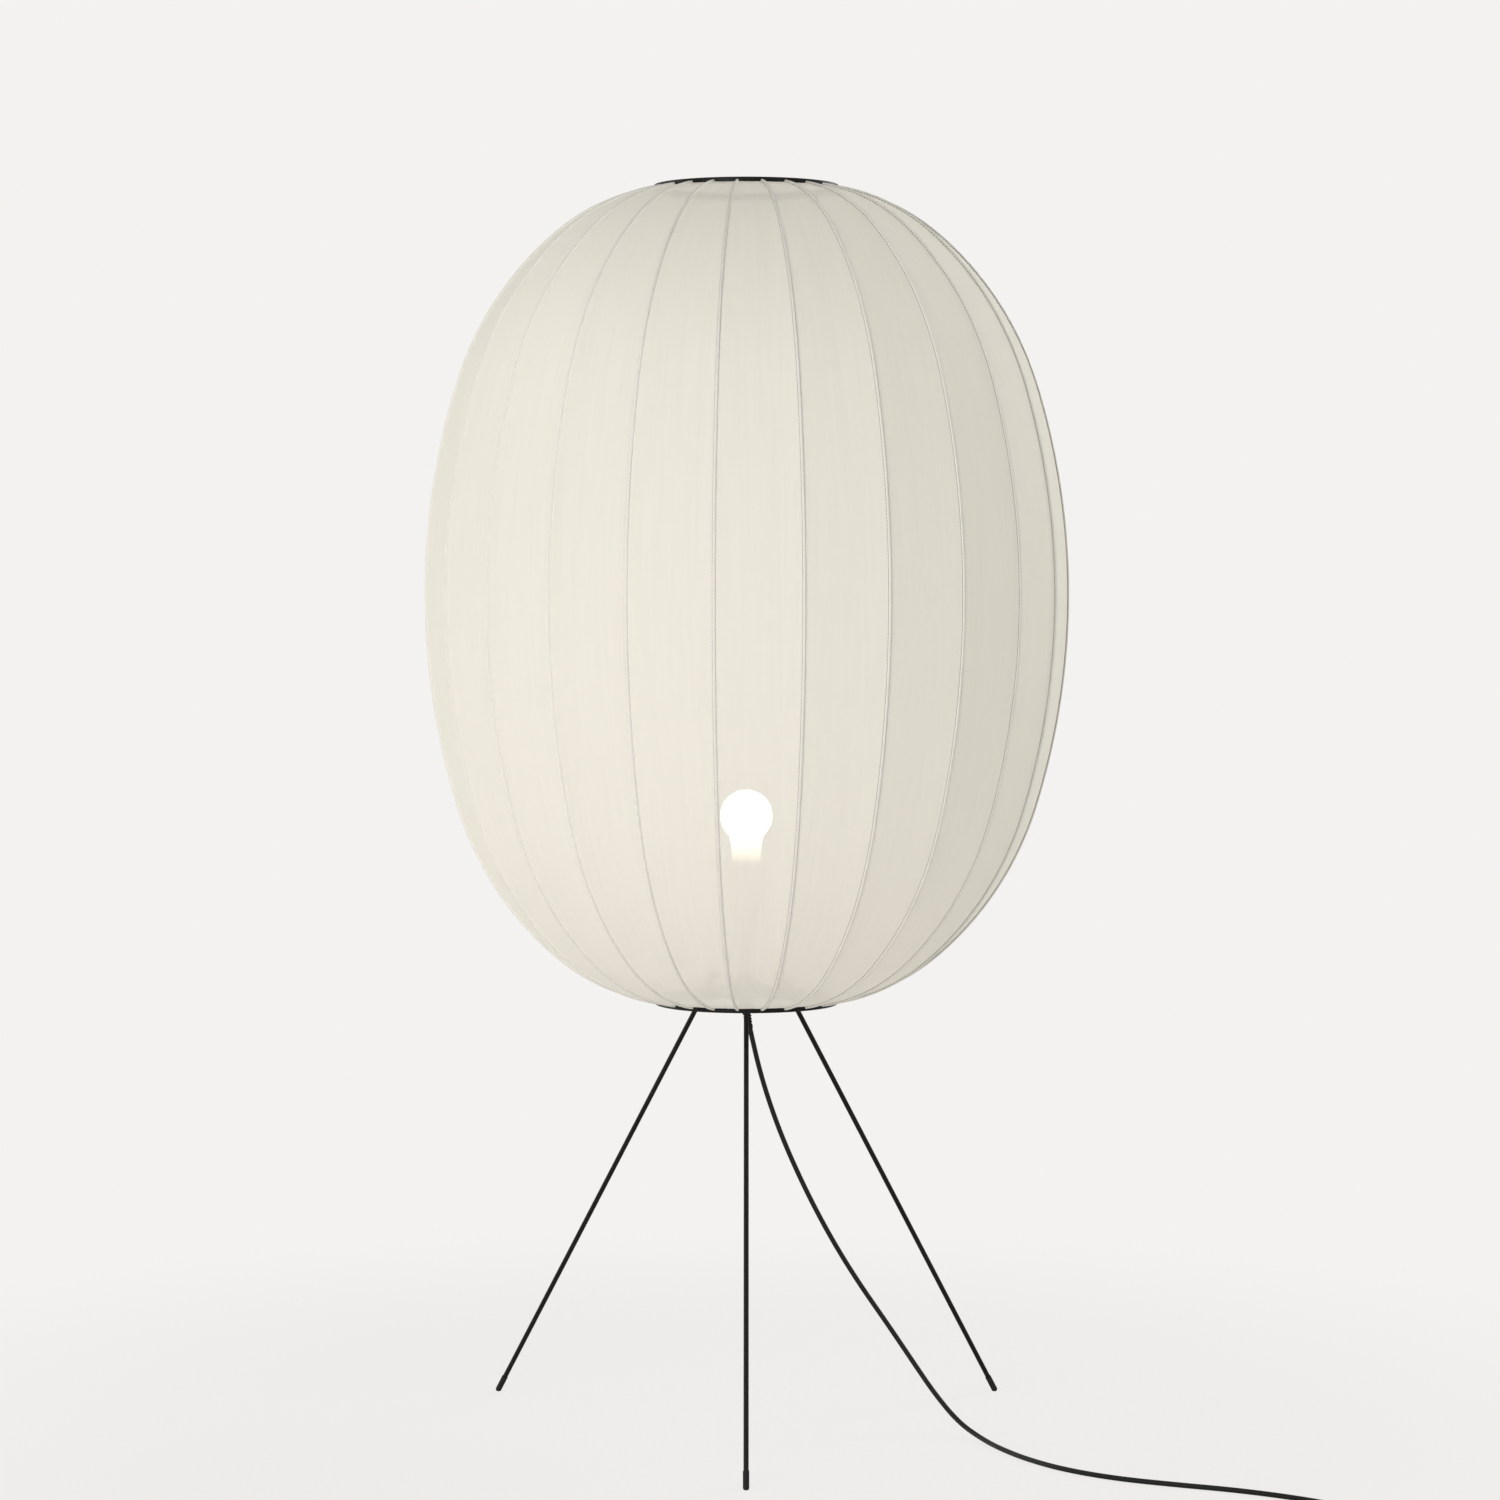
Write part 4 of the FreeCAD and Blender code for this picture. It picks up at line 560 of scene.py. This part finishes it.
# Place and width of the raised stitch row beside each channel; the same thin band is painted dark grey as
# painted shade.
SHADED_ROW_PLACE = 0.00172
SHADED_ROW_WIDTH = 0.0005
DOUBLE_CLOTH = 0.002
DOUBLE_LIGHT_SHARE = 0.28
SINGLE_LIGHT_SHARE = 0.42
OPEN_SHARE = 0.07
CREAM = (0.86, 0.85, 0.80)
DARK_STREAK = (0.845, 0.835, 0.785)
LIGHT_STREAK = (0.875, 0.865, 0.815)
DOUBLE_CREAM = (0.97, 0.96, 0.92)
THROUGH_CREAM = (0.86, 0.845, 0.79)
# Painted shade: the dark grey laid along one side of each channel's foot, in place of the shadow in the
# crease there.
PAINTED_SHADE_GREY = (0.20, 0.195, 0.17)
knit, knit_shader = new_finish("cream_knit", CREAM, 0.85)
knit_shader.inputs["Sheen Weight"].default_value = 0.15
knit_shader.inputs["Sheen Roughness"].default_value = 0.5


def worked(operation, first, second=None):
    """A sum or function of sockets and numbers in the knit's material."""
    node = new_node(knit, "Math", operation=operation)
    for socket, source in zip(node.inputs, (first, second)):
        if source is None:
            continue
        if isinstance(source, (int, float)):
            socket.default_value = source
        else:
            link(knit, source, socket)
    return node.outputs["Value"]


def mixed(material, share, first, second):
    """Two shaders mixed by a number or a socket."""
    mix = new_node(material, "MixShader")
    if isinstance(share, float):
        mix.inputs["Fac"].default_value = share
    else:
        link(material, share, mix.inputs["Fac"])
    link(material, first, mix.inputs[1])
    link(material, second, mix.inputs[2])
    return mix.outputs["Shader"]


knit_uv = new_node(knit, "UVMap", uv_map="knit")
knit_axes = new_node(knit, "SeparateXYZ")
link(knit, knit_uv.outputs["UV"], knit_axes.inputs["Vector"])
across, along = knit_axes.outputs["X"], knit_axes.outputs["Y"]
column_wave = worked("ABSOLUTE", worked("SINE", worked("MULTIPLY", across, math.pi / WALE)))
leg_shift = worked("MULTIPLY", column_wave, 0.5)
row_phase = worked("ADD", worked("DIVIDE", along, COURSE), leg_shift)
row_wave = worked("ABSOLUTE", worked("SINE", worked("MULTIPLY", row_phase, math.pi)))
loops = worked("MULTIPLY", column_wave, worked("ADD", worked("MULTIPLY", row_wave, 0.5), 0.5))
seam = new_node(knit, "Attribute", attribute_name="seam").outputs["Fac"]
stitch_wave = worked("SINE", worked("MULTIPLY", along, math.tau / STITCH))
# Painted shade: a thin band at the foot of each channel, on one side only, where the stitch row lies; it
# raises the stitch relief and carries the dark grey.
from_shaded_row = worked("ABSOLUTE", worked("SUBTRACT", seam, SHADED_ROW_PLACE))
shaded_band = worked("LESS_THAN", from_shaded_row, SHADED_ROW_WIDTH / 2)
painted_shade_side = worked("MULTIPLY", shaded_band, worked("GREATER_THAN", across, 0))
stitches_and_painted_shade = worked("MULTIPLY", painted_shade_side, worked("GREATER_THAN", stitch_wave, -0.6))
relief_height = worked("ADD", worked("MULTIPLY", loops, 0.5), worked("MULTIPLY", stitches_and_painted_shade, 0.6))
roughen(knit, knit_shader, relief_height, LOOP_DEPTH, strength=0.6)
streaks = new_node(knit, "TexNoise", noise_dimensions="2D")
streak_map = new_node(knit, "Mapping")
streak_map.inputs["Scale"].default_value = (1.0, 0.03, 1.0)
streaks.inputs["Scale"].default_value = 240
streaks.inputs["Detail"].default_value = 3
link(knit, knit_uv.outputs["UV"], streak_map.inputs["Vector"])
link(knit, streak_map.outputs["Vector"], streaks.inputs["Vector"])
single_cloth = worked("GREATER_THAN", seam, DOUBLE_CLOTH)
channel_mix = new_node(knit, "Mix", data_type="RGBA")
link(knit, single_cloth, channel_mix.inputs[0])
channel_mix.inputs[6].default_value = (*DOUBLE_CREAM, 1)
tint(knit, streaks.outputs["Fac"], channel_mix.inputs[7], DARK_STREAK, LIGHT_STREAK)
# Painted shade: the band's dark grey mixed over the knit's own colour.
painted_shade_mix = new_node(knit, "Mix", data_type="RGBA")
link(knit, stitches_and_painted_shade, painted_shade_mix.inputs[0])
link(knit, channel_mix.outputs[2], painted_shade_mix.inputs[6])
painted_shade_mix.inputs[7].default_value = (*PAINTED_SHADE_GREY, 1)
link(knit, painted_shade_mix.outputs[2], knit_shader.inputs["Base Color"])
through = new_node(knit, "BsdfTranslucent")
through.inputs["Color"].default_value = (*THROUGH_CREAM, 1)
open_knit = new_node(knit, "BsdfTransparent")
more_light = worked("MULTIPLY", single_cloth, SINGLE_LIGHT_SHARE - DOUBLE_LIGHT_SHARE)
light_share = worked("ADD", more_light, DOUBLE_LIGHT_SHARE)
open_share = worked("MULTIPLY", single_cloth, OPEN_SHARE)
lit_cloth = mixed(knit, light_share, knit_shader.outputs["BSDF"], through.outputs["BSDF"])
open_cloth = mixed(knit, open_share, lit_cloth, open_knit.outputs["BSDF"])
link(knit, open_cloth, knit.node_tree.nodes["Material Output"].inputs["Surface"])

cover = new_piece("knitted_cover", cloth, knit)
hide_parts("knit_panels", "knit_channels")

# Floor: a wide pale sweep of studio paper that keeps the lamp's soft shadow.
# Away from the lamp it fades into the colour of the background, so that no edge shows.
BACKGROUND = (0.905, 0.888, 0.871)
PAPER = (0.8, 0.79, 0.78)
FLOOR_RADIUS = 30
SHADOW_SHARE = 0.14
FADE_START = 0.45
FADE_END = 1.3


def plainly_seen(material):
    """A socket that is 1 where the background shows directly, in a gloss or through the cloth."""
    rays = new_node(material, "LightPath")
    direct = new_node(material, "Math", operation="MAXIMUM")
    link(material, rays.outputs["Is Camera Ray"], direct.inputs[0])
    link(material, rays.outputs["Is Glossy Ray"], direct.inputs[1])
    either = new_node(material, "Math", operation="MAXIMUM")
    link(material, direct.outputs["Value"], either.inputs[0])
    link(material, rays.outputs["Is Transmission Ray"], either.inputs[1])
    return either.outputs["Value"]


floor_shape = bmesh.new()
bmesh.ops.create_circle(floor_shape, cap_ends=True, segments=96, radius=FLOOR_RADIUS)
floor_mesh = bpy.data.meshes.new("floor")
floor_shape.to_mesh(floor_mesh)
floor_shape.free()
floor = bpy.data.objects.new("floor", floor_mesh)
scene.collection.objects.link(floor)
sweep = bpy.data.materials.new("pale_sweep")
sweep.use_nodes = True
sweep_nodes = sweep.node_tree.nodes
sweep_nodes.remove(sweep_nodes["Principled BSDF"])
lit = new_node(sweep, "BsdfDiffuse")
lit.inputs["Color"].default_value = (*PAPER, 1)
backdrop = new_node(sweep, "Emission")
backdrop.inputs["Color"].default_value = (*BACKGROUND, 1)
veil = mixed(sweep, 1 - SHADOW_SHARE, lit.outputs["BSDF"], backdrop.outputs["Emission"])
floor_place = new_node(sweep, "TexCoord")
far = new_node(sweep, "VectorMath", operation="LENGTH")
link(sweep, floor_place.outputs["Object"], far.inputs[0])
fade = new_node(sweep, "MapRange", interpolation_type="SMOOTHSTEP")
fade.inputs["From Min"].default_value = FADE_START
fade.inputs["From Max"].default_value = FADE_END
link(sweep, far.outputs["Value"], fade.inputs["Value"])
faded = mixed(sweep, fade.outputs["Result"], veil, backdrop.outputs["Emission"])
shown = mixed(sweep, plainly_seen(sweep), lit.outputs["BSDF"], faded)
link(sweep, shown, sweep_nodes["Material Output"].inputs["Surface"])
floor_mesh.materials.append(sweep)

# Light: a pale surround and four soft panels round the lamp, the strongest ones in front on the left and
# behind on the right, so that one panel of the shade on the right lies between them and is the darkest.
ROOM_COLOUR = (0.95, 0.97, 1.0)
ROOM_STRENGTH = 0.13
world = bpy.data.worlds.new("studio")
scene.world = world
world.use_nodes = True
surround = world.node_tree.nodes["Background"]
surround.inputs["Color"].default_value = (*BACKGROUND, 1)
room = new_node(world, "Background")
room.inputs["Color"].default_value = (*ROOM_COLOUR, 1)
room.inputs["Strength"].default_value = ROOM_STRENGTH
around = mixed(world, plainly_seen(world), room.outputs["Background"], surround.outputs["Background"])
link(world, around, world.node_tree.nodes["World Output"].inputs["Surface"])

PANEL_DISTANCE = 3.0
PANEL_LENGTH = 2.4
PANEL_COLOUR = (1.0, 0.98, 0.95)


def soft_panel(name, bearing, height, width, power):
    """A tall studio lamp turned towards the shade; its bearing runs from the front round to the right."""
    lamp = bpy.data.lights.new(name, "AREA")
    lamp.shape = "RECTANGLE"
    lamp.size = width
    lamp.size_y = PANEL_LENGTH
    lamp.energy = power
    lamp.color = PANEL_COLOUR
    panel = bpy.data.objects.new(name, lamp)
    turn = math.radians(bearing)
    panel.location = (PANEL_DISTANCE * math.sin(turn), -PANEL_DISTANCE * math.cos(turn), height)
    inward = Vector((0, 0, SHADE_MIDDLE)) - panel.location
    panel.rotation_euler = inward.to_track_quat("-Z", "Y").to_euler()
    scene.collection.objects.link(panel)


soft_panel("left_panel", bearing=-105, height=1.0, width=1.0, power=30)
soft_panel("front_panel", bearing=-23.5, height=1.2, width=2.4, power=61)
soft_panel("right_panel", bearing=41, height=2.0, width=1.0, power=13)
soft_panel("back_panel", bearing=130, height=2.2, width=1.0, power=62)
